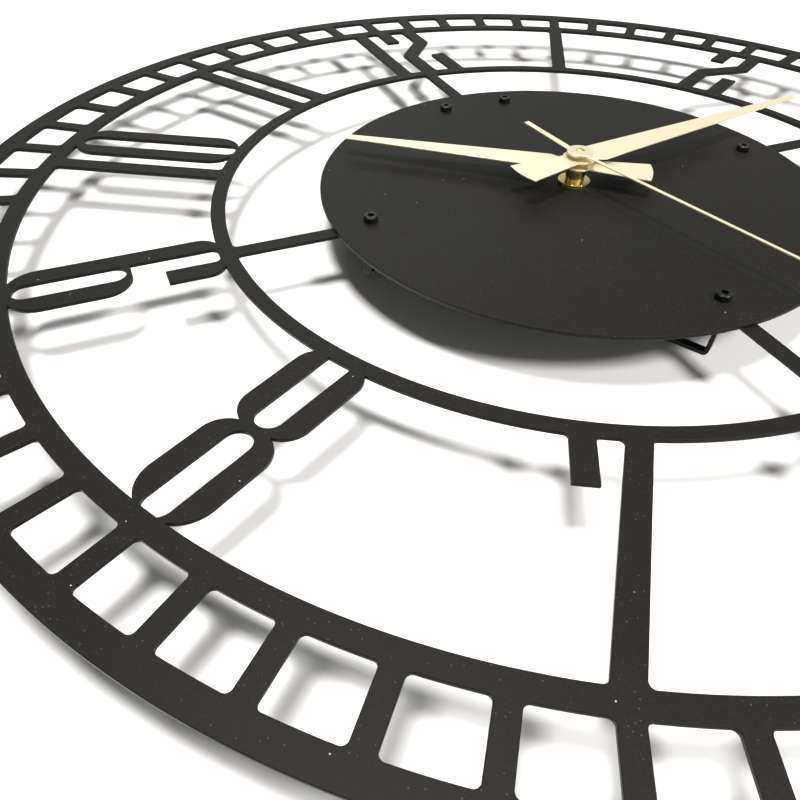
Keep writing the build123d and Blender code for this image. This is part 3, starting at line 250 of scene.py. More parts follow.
def champagne_sheet(colours, name, clock_angle):
    """Satin gold sheet with a fine grain that runs along the hand."""
    made = Finish(name, metallic=0.6)
    along = made.stretched((6000.0, 6000.0, 90.0), (0.0, -clock_angle, 0.0))
    streak = made.noise(1.0, 2.0, along)
    cloud = made.noise(14 * MM, 2.0)
    made.cover(base_color=made.mix(cloud, colours.gold, shade(colours.gold, 0.95)))
    made.cover(roughness=0.34 + 0.05 * streak + 0.05 * cloud)
    made.relief(streak, 0.0006 * MM, 0.3)
    return made.material


def turned_metal(name, colour, centre, roughness, metallic=1.0, groove=0.22 * MM):
    """Bright turned metal with faint tool rings about the hand shaft."""
    made = Finish(name, metallic=metallic)
    x, z = made.axis("X") - centre.x, made.axis("Z") - centre.z
    radius = (x * x + z * z) ** 0.5
    rings = made.noise(groove, 2.0, made.node("ShaderNodeCombineXYZ", inputs={
        "X": radius, "Y": made.axis("Y")}))
    tarnish = made.noise(2.6 * MM, 2.0)
    made.cover(base_color=made.mix(tarnish, colour, shade(colour, 0.88)))
    made.cover(roughness=roughness + 0.07 * rings + 0.05 * tarnish)
    made.relief(rings, 0.004 * MM, 0.3)
    return made.material


def moulded_plastic(name, colour, texture=0.35 * MM, roughness=0.5, depth=0.02 * MM):
    """Moulded plastic with a fine spark-eroded skin."""
    made = Finish(name)
    skin = made.noise(texture, 2.0)
    flow = made.noise(18 * MM, 1.0)
    made.cover(base_color=made.mix(flow, shade(colour, 0.9), shade(colour, 1.08)))
    made.cover(roughness=roughness + 0.1 * skin)
    made.relief(skin, depth, 0.5)
    return made.material


def gasket_rubber():
    made = Finish("gasket_rubber")
    dust = made.band(made.noise(1.8 * MM, 4.0), 0.5, 0.8)
    made.cover(base_color=made.mix(dust, (0.018, 0.018, 0.018), (0.06, 0.06, 0.058)))
    made.cover(roughness=0.7 + 0.15 * dust)
    made.relief(made.noise(0.3 * MM, 3.0), 0.03 * MM, 0.6)
    return made.material


def rolled_metal(name, colour, roughness, grain=(40.0, 40.0, 5000.0)):
    """Stamped or plated metal with a rolled grain across its height."""
    made = Finish(name, metallic=1.0)
    streak = made.noise(1.0, 3.0, made.stretched(grain))
    cloud = made.noise(4 * MM, 2.0)
    made.cover(base_color=made.mix(cloud, colour, shade(colour, 0.82)))
    made.cover(roughness=roughness + 0.12 * streak)
    made.relief(streak, 0.006 * MM, 0.35)
    return made.material


def sintered_magnet():
    made = Finish("sintered_magnet", metallic=0.6)
    pits_and_pit_shade = made.cells(0.25 * MM, "Distance")
    # colour darker towards the bottom of each pit: painted shade
    made.cover(base_color=made.mix(pits_and_pit_shade, (0.09, 0.09, 0.095), (0.17, 0.17, 0.175)))
    made.cover(roughness=0.5 + 0.2 * pits_and_pit_shade)
    made.relief(pits_and_pit_shade, 0.03 * MM, 0.5)
    return made.material


def copper_wire():
    """Layers of fine enamelled wire wound about the coil's axis, which is X; the colour goes dark
    in the grooves between turns, which is painted shade.
    """
    made = Finish("copper_wire", metallic=1.0, coat_weight=0.4)
    settings = {"wave_type": "BANDS", "bands_direction": "X", "wave_profile": "SIN"}
    inputs = {"Vector": made.place, "Scale": 1900.0, "Distortion": 0.3, "Detail": 1.0}
    turns = made.node("ShaderNodeTexWave", settings, inputs)
    # the wire's colour darkens in each groove between turns: painted shade
    made.cover(base_color=made.mix(turns, (0.26, 0.09, 0.04), (0.72, 0.33, 0.18)))
    made.cover(roughness=0.3 + 0.1 * turns)
    made.relief(turns, 0.06 * MM)
    return made.material


def circuit_laminate():
    """Green solder mask over copper tracks."""
    made = Finish("circuit_laminate", coat_weight=0.3)
    settings = {"wave_type": "BANDS", "bands_direction": "DIAGONAL", "wave_profile": "TRI"}
    inputs = {"Vector": made.place, "Scale": 130.0, "Distortion": 2.0, "Detail": 1.0}
    track = made.band(made.node("ShaderNodeTexWave", settings, inputs), 0.5, 0.56)
    weave = made.noise(0.5 * MM, 2.0)
    made.cover(base_color=made.mix(track, (0.02, 0.11, 0.045), (0.06, 0.24, 0.09)))
    made.cover(roughness=0.3 + 0.15 * weave)
    made.relief(track * 0.8 + weave * 0.2, 0.035 * MM)
    return made.material


def epoxy_black():
    made = Finish("epoxy_black", coat_weight=0.6)
    swirl = made.noise(1.5 * MM, 2.0)
    made.cover(base_color=made.mix(swirl, (0.008, 0.008, 0.008), (0.03, 0.03, 0.03)))
    made.cover(roughness=0.12 + 0.1 * swirl)
    made.relief(swirl, 0.05 * MM, 0.4)
    return made.material


def cell_sleeve(low, high):
    """Sleeve of the cell: dark body and a pale band at the positive end; bare metal ends."""
    made = Finish("cell_sleeve")
    along = (made.axis("X") - low) / (high - low)
    pale = made.band(along, 0.72, 0.723)
    sheen = made.noise(9 * MM, 2.0)
    colour = made.mix(pale, (0.03, 0.07, 0.12), (0.55, 0.56, 0.57))
    made.cover(base_color=made.mix(0.25 * sheen, colour, (0.01, 0.01, 0.012)))
    made.cover(metallic=0.35 + 0.3 * pale, roughness=0.2 + 0.12 * sheen)
    made.relief(made.noise(5 * MM, 1.0), 0.05 * MM, 0.3)
    return made.material


def wall_paint():
    """Matt white paint that shows only on the room's side, so the clock's back can be seen.

    It casts no shadow either, so the lamps behind the wall light that back.
    """
    made = Finish("wall_paint", roughness=0.85)
    roller = made.noise(2.5 * MM, 3.0)
    made.cover(base_color=made.mix(roller, (0.86, 0.86, 0.855), (0.885, 0.885, 0.88)))
    made.relief(roller, 0.03 * MM, 0.2)
    back = made.node("ShaderNodeNewGeometry", output="Backfacing")
    shadow = made.node("ShaderNodeLightPath", output="Is Shadow Ray")
    clear = made.node("ShaderNodeBsdfTransparent", inputs={"Color": (1.0, 1.0, 1.0, 1.0)})
    hide = made.node("ShaderNodeMath", {"operation": "MAXIMUM"}, {0: back, 1: shadow})
    made.show(made.node("ShaderNodeMixShader", inputs={0: hide, 1: made.surface, 2: clear}))
    return made.material


# ---- meshes ---------------------------------------------------------------------------
def paint(node, material):
    """Give a CAD node its finish."""
    data = NODES[node].data
    data.materials.clear()
    data.materials.append(material)


def add_piece(name, work, material, body, replaced=()):
    """Turn a bmesh into a piece that rides on a body."""
    bmesh.ops.remove_doubles(work, verts=work.verts, dist=1e-7)
    bmesh.ops.recalc_face_normals(work, faces=work.faces)
    data = bpy.data.meshes.new(name)
    work.to_mesh(data)
    work.free()
    data.materials.append(material)
    piece = bpy.data.objects.new(name, data)
    bpy.context.scene.collection.objects.link(piece)
    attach(piece, body)
    if replaced:
        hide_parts(*replaced)
    return piece


def smooth_sides(piece, angle=math.radians(38)):
    """Smooth shading everywhere except on faces square to the dial and at sharp edges."""
    data = piece.data
    data.shade_smooth()
    data.set_sharp_from_angle(angle=angle)
    for face in data.polygons:
        if abs(face.normal.y) > 0.9999:
            face.use_smooth = False
    return piece


def outlines(node):
    """Closed outlines (x, z) of a flat sheet's front face."""
    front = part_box(node)[0].y
    work = bmesh.new()
    work.from_mesh(NODES[node].data)
    bmesh.ops.remove_doubles(work, verts=work.verts, dist=1e-6)

    def on_front(item):
        return all(abs(v.co.y - front) < 1e-6 for v in item.verts)

    rim = [e for e in work.edges if on_front(e) and sum(on_front(f) for f in e.link_faces) == 1]
    beside = {}
    for edge in rim:
        first, second = edge.verts
        beside.setdefault(first, []).append(second)
        beside.setdefault(second, []).append(first)
    loops = []
    while beside:
        vertex = next(iter(beside))
        loop = []
        while vertex in beside:
            loop.append(Vector((vertex.co.x, vertex.co.z)))
            following = [v for v in beside.pop(vertex) if v in beside]
            vertex = following[0] if following else None
        loops.append(loop)
    work.free()
    return loops


def rounded(loop, sagitta=0.008 * MM):
    """The loop with more points on its arcs: an arc's chords are equally long."""
    count = len(loop)
    chords = [loop[(i + 1) % count] - loop[i] for i in range(count)]
    # signed turn at each point, anticlockwise positive
    turns = [-chords[i - 1].angle_signed(chords[i]) for i in range(count)]
    points = []
    for i in range(count):
        chord = chords[i]
        length = chord.length
        before, after = chords[i - 1].length, chords[(i + 1) % count].length
        alike = [turns[i]] if abs(before - length) < 0.02 * length else []
        alike += [turns[(i + 1) % count]] if abs(after - length) < 0.02 * length else []
        turn = min(alike, key=abs, default=0.0)
        points.append(loop[i])
        if not 0.002 < abs(turn) < 0.45:
            continue
        radius = length / (2 * math.sin(turn / 2))
        step = 2 * math.acos(max(0.9, 1 - sagitta / abs(radius)))
        pieces = math.ceil(abs(turn) / step)
        left = Vector((-chord.y, chord.x)).normalized()
        middle = loop[i] + chord / 2 + left * radius * math.cos(turn / 2)
        for k in range(1, pieces):
            points.append(middle + Matrix.Rotation(turn * k / pieces, 2) @ (loop[i] - middle))
    return points


def wound(loops):
    """The loops with the sheet on the left of each chord: only the outer one turns left."""

    def area(loop):
        return sum(p.x * q.y - q.x * p.y for p, q in zip(loop, loop[1:] + loop[:1])) / 2

    outer = max(loops, key=lambda loop: abs(area(loop)))
    return [loop if (area(loop) > 0) == (loop is outer) else loop[::-1] for loop in loops]


def inset(loop, distance, sharpest=0.4):
    """The loop moved into the sheet, on its left; sharpest limits how far a corner moves."""
    count = len(loop)
    normals = []
    for i in range(count):
        chord = (loop[(i + 1) % count] - loop[i]).normalized()
        normals.append(Vector((-chord.y, chord.x)))
    moved = []
    for i in range(count):
        both = normals[i - 1] + normals[i]
        spread = max(1 + normals[i - 1].dot(normals[i]), sharpest)
        moved.append(loop[i] + both * (distance / spread))
    return moved


def filled(loops):
    """Triangles between the loops, as numbers of their points counted through all loops."""
    inside_with_holes, tolerance = 2, 1e-9
    points = [p for loop in loops for p in loop]
    outline, start = [], 0
    for loop in loops:
        outline.append(list(range(start, start + len(loop))))
        start += len(loop)
    made = delaunay_2d_cdt(points, [], outline, inside_with_holes, tolerance)
    triangles, sources = made[2], made[3]
    if not all(sources):
        raise RuntimeError("the outlines of a sheet cross")
    return [[sources[i][0] for i in triangle] for triangle in triangles]


def rounded_sheet(name, node, edge, material, body, steps=3):
    """The node's flat sheet again, with true arcs and rounded edges."""
    low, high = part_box(node)
    loops = [rounded(loop) for loop in wound(outlines(node))]
    angles = [math.pi / 2 * k / steps for k in range(steps + 1)]
    # how far each ring is set in, and how far it lies behind the face
    corner = [(edge * (1 - math.sin(a)), edge * (1 - math.cos(a))) for a in angles]
    levels = [(distance, low.y + depth) for distance, depth in corner]
    levels += [(distance, high.y - depth) for distance, depth in reversed(corner)]
    work = bmesh.new()
    rings = []
    for distance, y in levels:
        rings.append([
            [work.verts.new((p.x, y, p.y)) for p in inset(loop, distance)] for loop in loops
        ])
    for first, second in zip(rings, rings[1:]):
        for one, other in zip(first, second):
            for k in range(len(one)):
                after = (k + 1) % len(one)
                work.faces.new((one[k], one[after], other[after], other[k]))
    triangles = filled(loops)
    for ring in (rings[0], rings[-1]):
        verts = [v for loop in ring for v in loop]
        for triangle in triangles:
            work.faces.new([verts[i] for i in triangle])
    return smooth_sides(add_piece(name, work, material, body, (node,)))


def turned(work, profile, at, axis, segments=96):
    """Solid turned about an axis; the profile is (distance along it, radius) in metres."""
    side = axis.orthogonal().normalized()
    other = axis.cross(side)
    rings = []
    for along, radius in profile:
        base = at + axis * along
        if radius < 1e-9:
            rings.append([work.verts.new(base)])
            continue
        angles = [math.tau * k / segments for k in range(segments)]
        rings.append([
            work.verts.new(base + (side * math.cos(a) + other * math.sin(a)) * radius)
            for a in angles
        ])
    for first, second in zip(rings, rings[1:]):
        for k in range(segments):
            after = (k + 1) % segments
            corners = [first[k % len(first)], first[after % len(first)],
                       second[after % len(second)], second[k % len(second)]]
            work.faces.new(list(dict.fromkeys(corners)))


def soft_corner(before, corner, after, radius, steps=4):
    """Points of a small curve in place of a profile's corner, which starts radius from it."""
    b, c, a = Vector(before), Vector(corner), Vector(after)
    start = c + (b - c).normalized() * radius
    end = c + (a - c).normalized() * radius
    points = []
    for k in range(steps + 1):
        t = k / steps
        points.append(tuple((1 - t) ** 2 * start + 2 * t * (1 - t) * c + t * t * end))
    return points


def soft_profile(corners, radius, closed=True):
    """The profile with each corner rounded; a closed one starts and ends at one corner."""
    count = len(corners)
    points = []
    for i, corner in enumerate(corners):
        if not closed and i in (0, count - 1):
            points.append(corner)
        else:
            points += soft_corner(corners[i - 1], corner, corners[(i + 1) % count], radius)
    if closed:
        points.append(points[0])
    return points


def half_width(node):
    """Half of a node's size from left to right: a round node's radius."""
    low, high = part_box(node)
    return (high.x - low.x) / 2


def ring_profile(node, inner, edge):
    """Closed profile of a ring as wide and as deep as a node, with rounded edges."""
    low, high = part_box(node)
    outer = half_width(node)
    return soft_profile([(-high.y, inner), (-high.y, outer), (-low.y, outer), (-low.y, inner)],
                        edge)


# ---- settings ---------------------------------------------------------------------------
class ClockColours(bpy.types.PropertyGroup):
    """Colours of the clock's finishes."""

    coat: FloatVectorProperty(name="Powder Coat", subtype="COLOR", size=3, min=0, max=1,
                              description="Colour of the coated steel",
                              default=(0.0055, 0.0052, 0.0040))
    speck: FloatVectorProperty(name="Specks", subtype="COLOR", size=3, min=0, max=1,
                               description="Pale specks of dust in the coat",
                               default=(0.45, 0.44, 0.42))
    gold: FloatVectorProperty(name="Hands", subtype="COLOR", size=3, min=0, max=1,
                              description="Champagne gold of the hands",
                              default=(0.88, 0.78, 0.55))
    brass: FloatVectorProperty(name="Brass", subtype="COLOR", size=3, min=0, max=1,
                               description="Polished brass of the hand shaft",
                               default=(0.98, 0.79, 0.30))
    case: FloatVectorProperty(name="Movement Case", subtype="COLOR", size=3, min=0, max=1,
                              description="Moulded case of the movement",
                              default=(0.022, 0.022, 0.023))
    acetal: FloatVectorProperty(name="Gears", subtype="COLOR", size=3, min=0, max=1,
                                description="Natural plastic of the gears",
                                default=(0.74, 0.73, 0.68))


class ClockSizes(bpy.types.PropertyGroup):
    """Small sizes that only the eye needs."""

    coat_edge: FloatProperty(name="Coated Edge", unit="LENGTH", default=0.25 * MM,
                             description="Radius that the coat gives to a cut edge")
    hand_edge: FloatProperty(name="Hand Edge", unit="LENGTH", default=0.08 * MM,
                             description="Radius of a hand's stamped edge")
    turned_edge: FloatProperty(name="Turned Edge", unit="LENGTH", default=0.18 * MM,
                               description="Radius of a turned part's edge")
    mark_height: FloatProperty(name="Moulded Mark", unit="LENGTH", default=0.3 * MM,
                               description="Height of the marks on the movement's back")


class ClockStage(bpy.types.PropertyGroup):
    """Room and lamps."""

    wall: FloatProperty(name="Wall", unit="LENGTH", default=5.0,
                        description="Width and height of the wall")
    floor_drop: FloatProperty(name="Floor Drop", unit="LENGTH", default=2.2,
                              description="From the hanger down to the floor")
    sky: FloatProperty(name="Room Light", default=0.06, min=0,
                       description="Strength of the even light from all round")
    backdrop: FloatProperty(name="Backdrop", default=0.72, min=0,
                            description="What the room adds where the camera sees it")
    sheen: FloatProperty(name="Sheen", default=0.40, min=0,
                         description="What the room adds in reflections")


# ---- operators --------------------------------------------------------------------------
class WALLCLOCK_OT_coated_steel(bpy.types.Operator):
    """Dial, disc and brackets of powder-coated steel sheet"""

    bl_idname = "wall_clock.coated_steel"
    bl_label = "Coated Steel"

    def execute(self, context):
        coat = powder_coat(context.scene.clock_colours)
        edge = context.scene.clock_sizes.coat_edge
        for node in ("skeleton_dial", "centre_disc"):
            rounded_sheet("coated_" + node, node, edge, coat, "clock")
        for node in ("hanger_bracket", "wall_bracket_right", "wall_bracket_bottom",
                     "wall_bracket_left"):
            paint(node, coat)
        return {"FINISHED"}


class WALLCLOCK_OT_disc_screws(bpy.types.Operator):
    """Socket screws that hold the disc"""

    bl_idname = "wall_clock.disc_screws"
    bl_label = "Disc Screws"

    def execute(self, context):
        paint("disc_screws", black_oxide(context.scene.clock_colours))
        return {"FINISHED"}


class WALLCLOCK_OT_shaft_fittings(bpy.types.Operator):
    """Turned brass bushing, washer, nut, collets and cap about the hand shaft"""

    bl_idname = "wall_clock.shaft_fittings"
    bl_label = "Shaft Fittings"

    COLLET_WALL = 0.9 * MM
    NUT_WALL = 2.65 * MM    # from the nut's outside to its thread

    def execute(self, context):
        colours = context.scene.clock_colours
        edge = context.scene.clock_sizes.turned_edge
        brass = turned_metal("polished_brass", colours.brass, CENTRE, 0.15)
        on_wall = Vector((CENTRE.x, 0.0, CENTRE.z))
        bore = half_width("hour_hand_collet") - self.COLLET_WALL
        barrel = half_width("round_nut") - self.NUT_WALL
        rings = (
            ("turned_washer", "dial_washer", barrel, "clock", 0.5 * edge),
            ("turned_nut", "round_nut", barrel, "clock", edge),
            ("hour_collet", "hour_hand_collet", bore, "hour_hand_assembly", 0.5 * edge),
        )
        for name, node, inner, body, radius in rings:
            work = bmesh.new()
            turned(work, ring_profile(node, inner, radius), on_wall, FRONT)
            smooth_sides(add_piece(name, work, brass, body, (node,)))
        for node in ("threaded_bushing", "minute_hand_collet"):
            paint(node, brass)
        self.cap(brass, on_wall)
        return {"FINISHED"}

    def cap(self, brass, on_wall):
        """Domed cap with a turned step on the end of the seconds arbor."""
        low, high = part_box("second_hand_cap")
        base, height = -high.y, high.y - low.y
        radius = half_width("second_hand_cap")
        # heights of the rim and of the dome's foot over the base, then the dome's radius
        rim, foot, dome = 0.25 * height, 0.3 * height, 0.86 * radius
        profile = [(base, 0.0), (base, radius), (base + rim, radius)]
        steps = 8
        for k in range(steps + 1):
            a = math.pi / 2 * k / steps
            profile.append((base + foot + (height - foot) * math.sin(a), dome * math.cos(a)))
        work = bmesh.new()
        turned(work, profile, on_wall, FRONT, 48)
        cap = add_piece("domed_cap", work, brass, "second_hand_assembly",
                        ("second_hand_cap",))
        smooth_sides(cap)


class WALLCLOCK_OT_hands(bpy.types.Operator):
    """Hour, minute and second hands"""

    bl_idname = "wall_clock.hands"
    bl_label = "Hands"

    def execute(self, context):
        colours = context.scene.clock_colours
        edge = context.scene.clock_sizes.hand_edge
        for name in ("hour", "minute"):
            node = name + "_hand"
            gold = champagne_sheet(colours, "champagne_" + name, self.pointing(node))
            rounded_sheet("stamped_" + node, node, edge, gold, node + "_assembly")
        paint("second_hand", champagne_sheet(colours, "champagne_second",
                                             self.pointing("second_hand")))
        paint("second_hand_hub", turned_metal("champagne_hub", colours.gold, CENTRE, 0.26, 0.65))
        return {"FINISHED"}

    def pointing(self, node):
        """Clockwise angle from 12 o'clock to the hand's tip."""
        tip = max((v.co for v in NODES[node].data.vertices),
                  key=lambda p: math.hypot(p.x - CENTRE.x, p.z - CENTRE.z))
        return math.atan2(tip.x - CENTRE.x, tip.z - CENTRE.z)


class WALLCLOCK_OT_movement_case(bpy.types.Operator):
    """Moulded case, back cover, gasket and setting knob of the movement"""

    bl_idname = "wall_clock.movement_case"
    bl_label = "Movement Case"

    def execute(self, context):
        colours = context.scene.clock_colours
        plastic = moulded_plastic("case_plastic", colours.case)
        paint("movement_case", plastic)
        paint("movement_back_cover", plastic)
        paint("rubber_gasket", gasket_rubber())
        paint("setting_knob", moulded_plastic("knob_plastic", colours.acetal, 0.3 * MM, 0.4))
        self.marks(plastic, context.scene.clock_sizes.mark_height)
        return {"FINISHED"}

    def marks(self, plastic, height):
        """Raised rim, plus and minus signs and the arrow round the knob, on the cover."""
        low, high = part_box("movement_back_cover")
        back = high.y
        work = bmesh.new()
        margin, width = 1.2 * MM, 0.8 * MM
        x0, x1, z0, z1 = low.x + margin, high.x - margin, low.z + margin, high.z - margin
        for box in ((x0, x1, z0, z0 + width), (x0, x1, z1 - width, z1),
                    (x0, x0 + width, z0 + width, z1 - width),
                    (x1 - width, x1, z0 + width, z1 - width)):
            self.bar(work, box, back, height)
        # half a sign's length and half its stroke, then where the signs stand in the rim
        sign, arm = 1.9 * MM, 0.4 * MM
        middle, from_side = z0 + 4.2 * MM, 4.5 * MM
        for x, upright in ((x0 + from_side, False), (x1 - from_side, True)):
            self.bar(work, (x - sign, x + sign, middle - arm, middle + arm), back, height)
            if upright:
                self.bar(work, (x - arm, x + arm, middle + arm, middle + sign), back, height)
                self.bar(work, (x - arm, x + arm, middle - sign, middle - arm), back, height)
        self.arrow(work, back, height)
        add_piece("moulded_marks", work, plastic, "clock")

    def bar(self, work, box, back, height):
        """Low raised bar with drafted sides on the back of the cover."""
        x0, x1, z0, z1 = box
        draft = 0.3 * height
        rings = []
        for y, lean in ((back, 0.0), (back + height, draft)):
            corners = ((x0 + lean, z0 + lean), (x1 - lean, z0 + lean),
                       (x1 - lean, z1 - lean), (x0 + lean, z1 - lean))
            rings.append([work.verts.new((x, y, z)) for x, z in corners])
        work.faces.new(rings[0])
        work.faces.new(rings[1])
        for k in range(4):
            after = (k + 1) % 4
            work.faces.new((rings[0][k], rings[0][after], rings[1][after], rings[1][k]))

    def arrow(self, work, back, height):
        """Curved arrow round the knob, which shows how it turns the hands on."""
        inner, outer = 5.9 * MM, 6.7 * MM
        head_length, head_half_width = 2.56 * MM, 1.6 * MM / 1.4
        steps, start, sweep = 24, math.radians(200), math.radians(110)
        angles = [start + sweep * k / steps for k in range(steps + 1)]
        middle = (inner + outer) / 2
        tip = start + sweep + head_length / middle
        outline = [(outer, a) for a in angles]
        outline += [(middle + head_half_width, angles[-1]), (middle, tip)]
        outline += [(middle - head_half_width, angles[-1])]
        outline += [(inner, a) for a in reversed(angles)]
        levels = []
        for y in (back, back + height):
            levels.append([
                work.verts.new((KNOB.x + r * math.cos(a), y, KNOB.z + r * math.sin(a)))
                for r, a in outline
            ])
        count = len(outline)
        for k in range(count):
            after = (k + 1) % count
            work.faces.new((levels[0][k], levels[0][after], levels[1][after], levels[1][k]))
        for level in levels:
            face = work.faces.new(level)
            bmesh.ops.triangulate(work, faces=[face])


class WALLCLOCK_OT_wheel_train(bpy.types.Operator):
    """Wheels, pinions, bearing plates, pillars and screws of the movement"""

    bl_idname = "wall_clock.wheel_train"
    bl_label = "Wheel Train"

    def execute(self, context):
        colours = context.scene.clock_colours
        acetal = moulded_plastic("acetal", colours.acetal, 0.2 * MM, 0.38, 0.01 * MM)
        for node in ("hour_wheel", "minute_wheel", "third_wheel", "fifth_wheel",
                     "seconds_wheel", "rotor_pinion"):
            paint(node, acetal)
        sheet = rolled_metal("rolled_brass", shade(colours.brass, 0.9), 0.25)
        for node in ("inner_bearing_plate", "back_bearing_plate"):
            paint(node, sheet)
        cut = turned_metal("cut_brass", shade(colours.brass, 0.92), CENTRE, 0.18)
        for node in ("centre_wheel", "cannon_pinion", "plate_pillars"):
            paint(node, cut)
        paint("plate_screws", rolled_metal("plated_screw", (0.62, 0.62, 0.61), 0.22))
        return {"FINISHED"}


class WALLCLOCK_OT_stepping_motor(bpy.types.Operator):
    """Stator, core, coil and rotor magnet of the motor"""

    bl_idname = "wall_clock.stepping_motor"
    bl_label = "Stepping Motor"

    def execute(self, context):
        iron = rolled_metal("soft_iron", (0.42, 0.42, 0.43), 0.32)
        paint("motor_stator", iron)
        paint("coil_core", iron)
        paint("coil_bobbin", moulded_plastic("bobbin_nylon", (0.5, 0.05, 0.03), 0.3 * MM, 0.35))
        paint("coil_winding", copper_wire())
        paint("rotor_magnet", sintered_magnet())
        return {"FINISHED"}


class WALLCLOCK_OT_circuit(bpy.types.Operator):
    """Circuit board, crystal, chip and battery contacts"""

    bl_idname = "wall_clock.circuit"
    bl_label = "Circuit"

    def execute(self, context):
        nickel = rolled_metal("nickel", (0.66, 0.64, 0.60), 0.18)
        for node in ("quartz_crystal", "battery_contact_plus", "battery_contact_minus"):
            paint(node, nickel)
        paint("circuit_board", circuit_laminate())
        paint("clock_chip", epoxy_black())
        return {"FINISHED"}


class WALLCLOCK_OT_battery(bpy.types.Operator):
    """Battery cell with its sleeve, bare ends and nub"""

    bl_idname = "wall_clock.battery"
    bl_label = "Battery"

    def execute(self, context):
        low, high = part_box("battery")
        radius = (high.z - low.z) / 2
        start = Vector((low.x, (low.y + high.y) / 2, (low.z + high.z) / 2))
        length, nub = high.x - low.x, 1.0 * MM
        # the bare metal lip at each end, and how far the sleeve stands proud of it
        lip, skin = 0.9 * MM, 0.12 * MM
        # the dish in the flat end, the hole round the nub, and the nub itself
        dish_rim, dish_r, dish_depth = radius - 1.6 * MM, radius - 2.0 * MM, 0.35 * MM
        hole_rim, hole_r, hole_depth = 3.6 * MM, 3.5 * MM, 0.2 * MM
        nub_foot_r, nub_r, nub_foot_depth = 3.3 * MM, 2.75 * MM, 0.1 * MM
        shoulder = length - nub
        work = bmesh.new()
        profile = soft_profile([
            (0.0, dish_rim), (0.0, radius - skin), (lip, radius - skin),
            (lip, radius), (shoulder - lip, radius), (shoulder - lip, radius - skin),
            (shoulder, radius - skin), (shoulder, hole_rim),
        ], 0.05 * MM, closed=False)
        turned(work, [(dish_depth, 0.0), (dish_depth, dish_r), *profile,
                      (shoulder - hole_depth, hole_r), (shoulder - hole_depth, 0.0)],
               start, Vector((1, 0, 0)))
        sleeve = cell_sleeve(low.x, high.x)
        cell = add_piece("sleeved_cell", work, sleeve, "battery_cell",
                         ("battery",))
        smooth_sides(cell)
        work = bmesh.new()
        cap = soft_profile([
            (shoulder - hole_depth, nub_foot_r), (shoulder - nub_foot_depth, nub_r),
            (length, nub_r), (length, 0.0),
        ], 0.3 * MM, closed=False)
        turned(work, [(shoulder - hole_depth, 0.0), *cap], start, Vector((1, 0, 0)), 64)
        nickel = rolled_metal("cell_nickel", (0.66, 0.65, 0.62), 0.2)
        smooth_sides(add_piece("cell_nub", work, nickel, "battery_cell"))
        return {"FINISHED"}


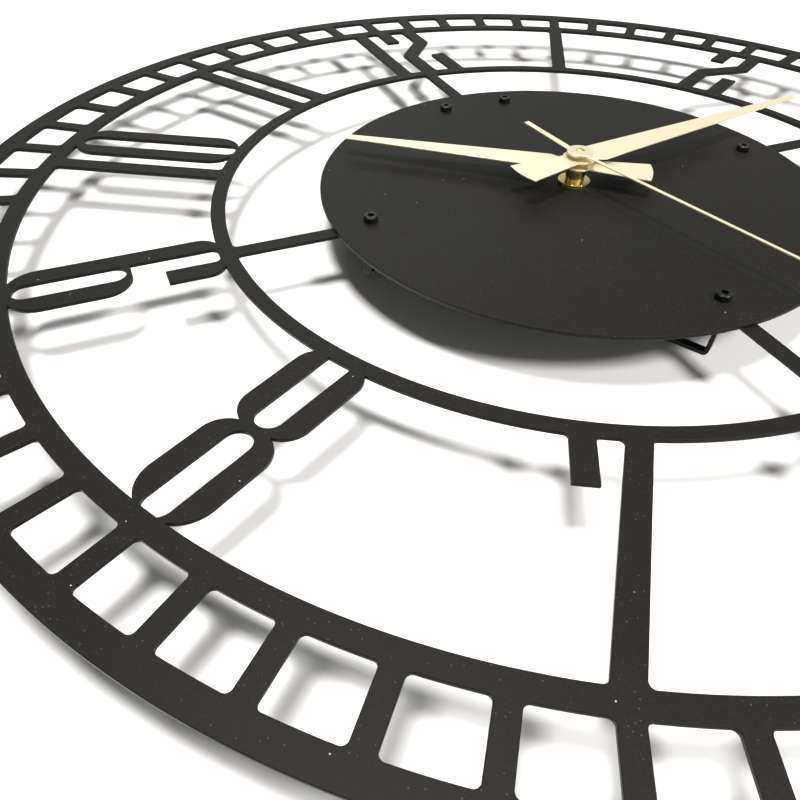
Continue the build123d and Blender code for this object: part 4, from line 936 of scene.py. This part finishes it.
class WALLCLOCK_OT_stage(bpy.types.Operator):
    """Pale wall and floor, soft lamps and the camera"""

    bl_idname = "wall_clock.stage"
    bl_label = "Stage"

    # where each lamp stands: (right, up, away from the wall) of the dial's centre in
    # metres, then its size in metres, its power in watts and its colour
    LAMPS = (
        ("key_front", (-0.20, -0.08, 1.00), 0.26, 12.0, (1.0, 0.98, 0.95)),
        ("key_low_right", (0.475, -0.935, 1.0), 0.36, 22.0, (1.0, 0.975, 0.94)),
        ("softbox_up", (0.3, 1.5, 1.6), 1.5, 12.0, (1.0, 1.0, 1.0)),
        ("back_left", (-1.2, 0.6, -1.4), 1.2, 26.0, (1.0, 1.0, 1.0)),
        ("back_right", (1.3, 0.3, -1.5), 1.2, 22.0, (1.0, 1.0, 1.0)),
    )

    # the camera: place in metres, the way it looks, its upright, lens in mm, frame shift
    CAMERA_PLACE = (-0.17185, -0.14129, -0.30209)
    CAMERA_AHEAD = (0.2679, 0.7625, 0.5889)
    CAMERA_UP = (0.2883, -0.6467, 0.7061)
    LENS = 28.77
    SHIFT = (-0.0048, 0.1057)

    def execute(self, context):
        settings = context.scene.clock_stage
        paint_white = wall_paint()
        half, drop = settings.wall / 2, settings.floor_drop
        self.slab("wall", paint_white, [(-half, 0, -drop), (half, 0, -drop),
                                        (half, 0, half), (-half, 0, half)])
        floor = moulded_plastic("floor_paint", (0.8, 0.8, 0.79), 4 * MM, 0.7)
        self.slab("floor", floor, [(-half, -half, -drop), (half, -half, -drop),
                                   (half, half, -drop), (-half, half, -drop)])
        for lamp in self.LAMPS:
            self.lamp(context, *lamp)
        self.room_light(context, settings)
        self.camera(context)
        context.scene.view_settings.view_transform = "Standard"
        return {"FINISHED"}

    def slab(self, name, material, corners):
        """Flat backdrop through four corners, anticlockwise as seen from the room."""
        data = bpy.data.meshes.new(name)
        data.from_pydata(corners, [], [(0, 1, 2, 3)])
        data.materials.append(material)
        made = bpy.data.objects.new(name, data)
        bpy.context.scene.collection.objects.link(made)

    def lamp(self, context, name, offset, size, power, colour):
        right, up, away = offset
        data = bpy.data.lights.new(name, "AREA")
        data.shape = "DISK"
        data.size = size
        data.energy = power
        data.color = colour
        made = bpy.data.objects.new(name, data)
        made.location = CENTRE + Vector((right, -away, up))
        made.rotation_euler = (CENTRE - made.location).to_track_quat("-Z", "Y").to_euler()
        context.scene.collection.objects.link(made)

    def room_light(self, context, settings):
        """Dim room that still looks pale to the camera and in the metal's reflections."""
        world = bpy.data.worlds.new("studio")
        tree = NodeTree(world)
        seen = tree.node("ShaderNodeLightPath", output="Is Camera Ray")
        mirrored = tree.node("ShaderNodeLightPath", output="Is Glossy Ray")
        strength = settings.sky + settings.backdrop * seen + settings.sheen * mirrored
        white = (1.0, 1.0, 1.0, 1.0)
        light = tree.node("ShaderNodeBackground", inputs={"Color": white, "Strength": strength})
        tree.node("ShaderNodeOutputWorld", inputs={"Surface": light})
        context.scene.world = world

    def camera(self, context):
        """Close camera by the 8 o'clock rim that looks up across the dial."""
        data = bpy.data.cameras.new("camera")
        data.lens = self.LENS
        data.sensor_width = 36.0
        data.shift_x, data.shift_y = self.SHIFT
        data.clip_start = 0.005
        made = bpy.data.objects.new("camera", data)
        ahead = Vector(self.CAMERA_AHEAD).normalized()
        right = ahead.cross(Vector(self.CAMERA_UP)).normalized()
        up = right.cross(ahead)
        turn = Matrix((right, up, -ahead)).transposed()
        made.matrix_world = Matrix.Translation(self.CAMERA_PLACE) @ turn.to_4x4()
        context.scene.collection.objects.link(made)
        context.scene.camera = made


# ---- panel and registration ---------------------------------------------------------------
OPERATORS = (
    WALLCLOCK_OT_coated_steel,
    WALLCLOCK_OT_disc_screws,
    WALLCLOCK_OT_shaft_fittings,
    WALLCLOCK_OT_hands,
    WALLCLOCK_OT_movement_case,
    WALLCLOCK_OT_wheel_train,
    WALLCLOCK_OT_stepping_motor,
    WALLCLOCK_OT_circuit,
    WALLCLOCK_OT_battery,
    WALLCLOCK_OT_stage,
)
GROUPS = {"clock_colours": ClockColours, "clock_sizes": ClockSizes, "clock_stage": ClockStage}


class WALLCLOCK_PT_panel(bpy.types.Panel):
    """Buttons and settings of the wall clock"""

    bl_idname = "WALLCLOCK_PT_panel"
    bl_label = "Wall Clock"
    bl_space_type = "VIEW_3D"
    bl_region_type = "UI"
    bl_category = "Wall Clock"

    def draw(self, context):
        layout = self.layout
        for operator in OPERATORS:
            layout.operator(operator.bl_idname)
        for name, group in GROUPS.items():
            box = layout.box()
            for setting in group.__annotations__:
                box.prop(getattr(context.scene, name), setting)


def register():
    for made in (*GROUPS.values(), *OPERATORS, WALLCLOCK_PT_panel):
        bpy.utils.register_class(made)
    for name, group in GROUPS.items():
        setattr(bpy.types.Scene, name, PointerProperty(type=group))


def unregister():
    for name in GROUPS:
        delattr(bpy.types.Scene, name)
    for made in reversed((*GROUPS.values(), *OPERATORS, WALLCLOCK_PT_panel)):
        bpy.utils.unregister_class(made)


def main():
    register()
    for operator in OPERATORS:
        group, name = operator.bl_idname.split(".")
        getattr(getattr(bpy.ops, group), name)()


if __name__ == "__main__":
    main()
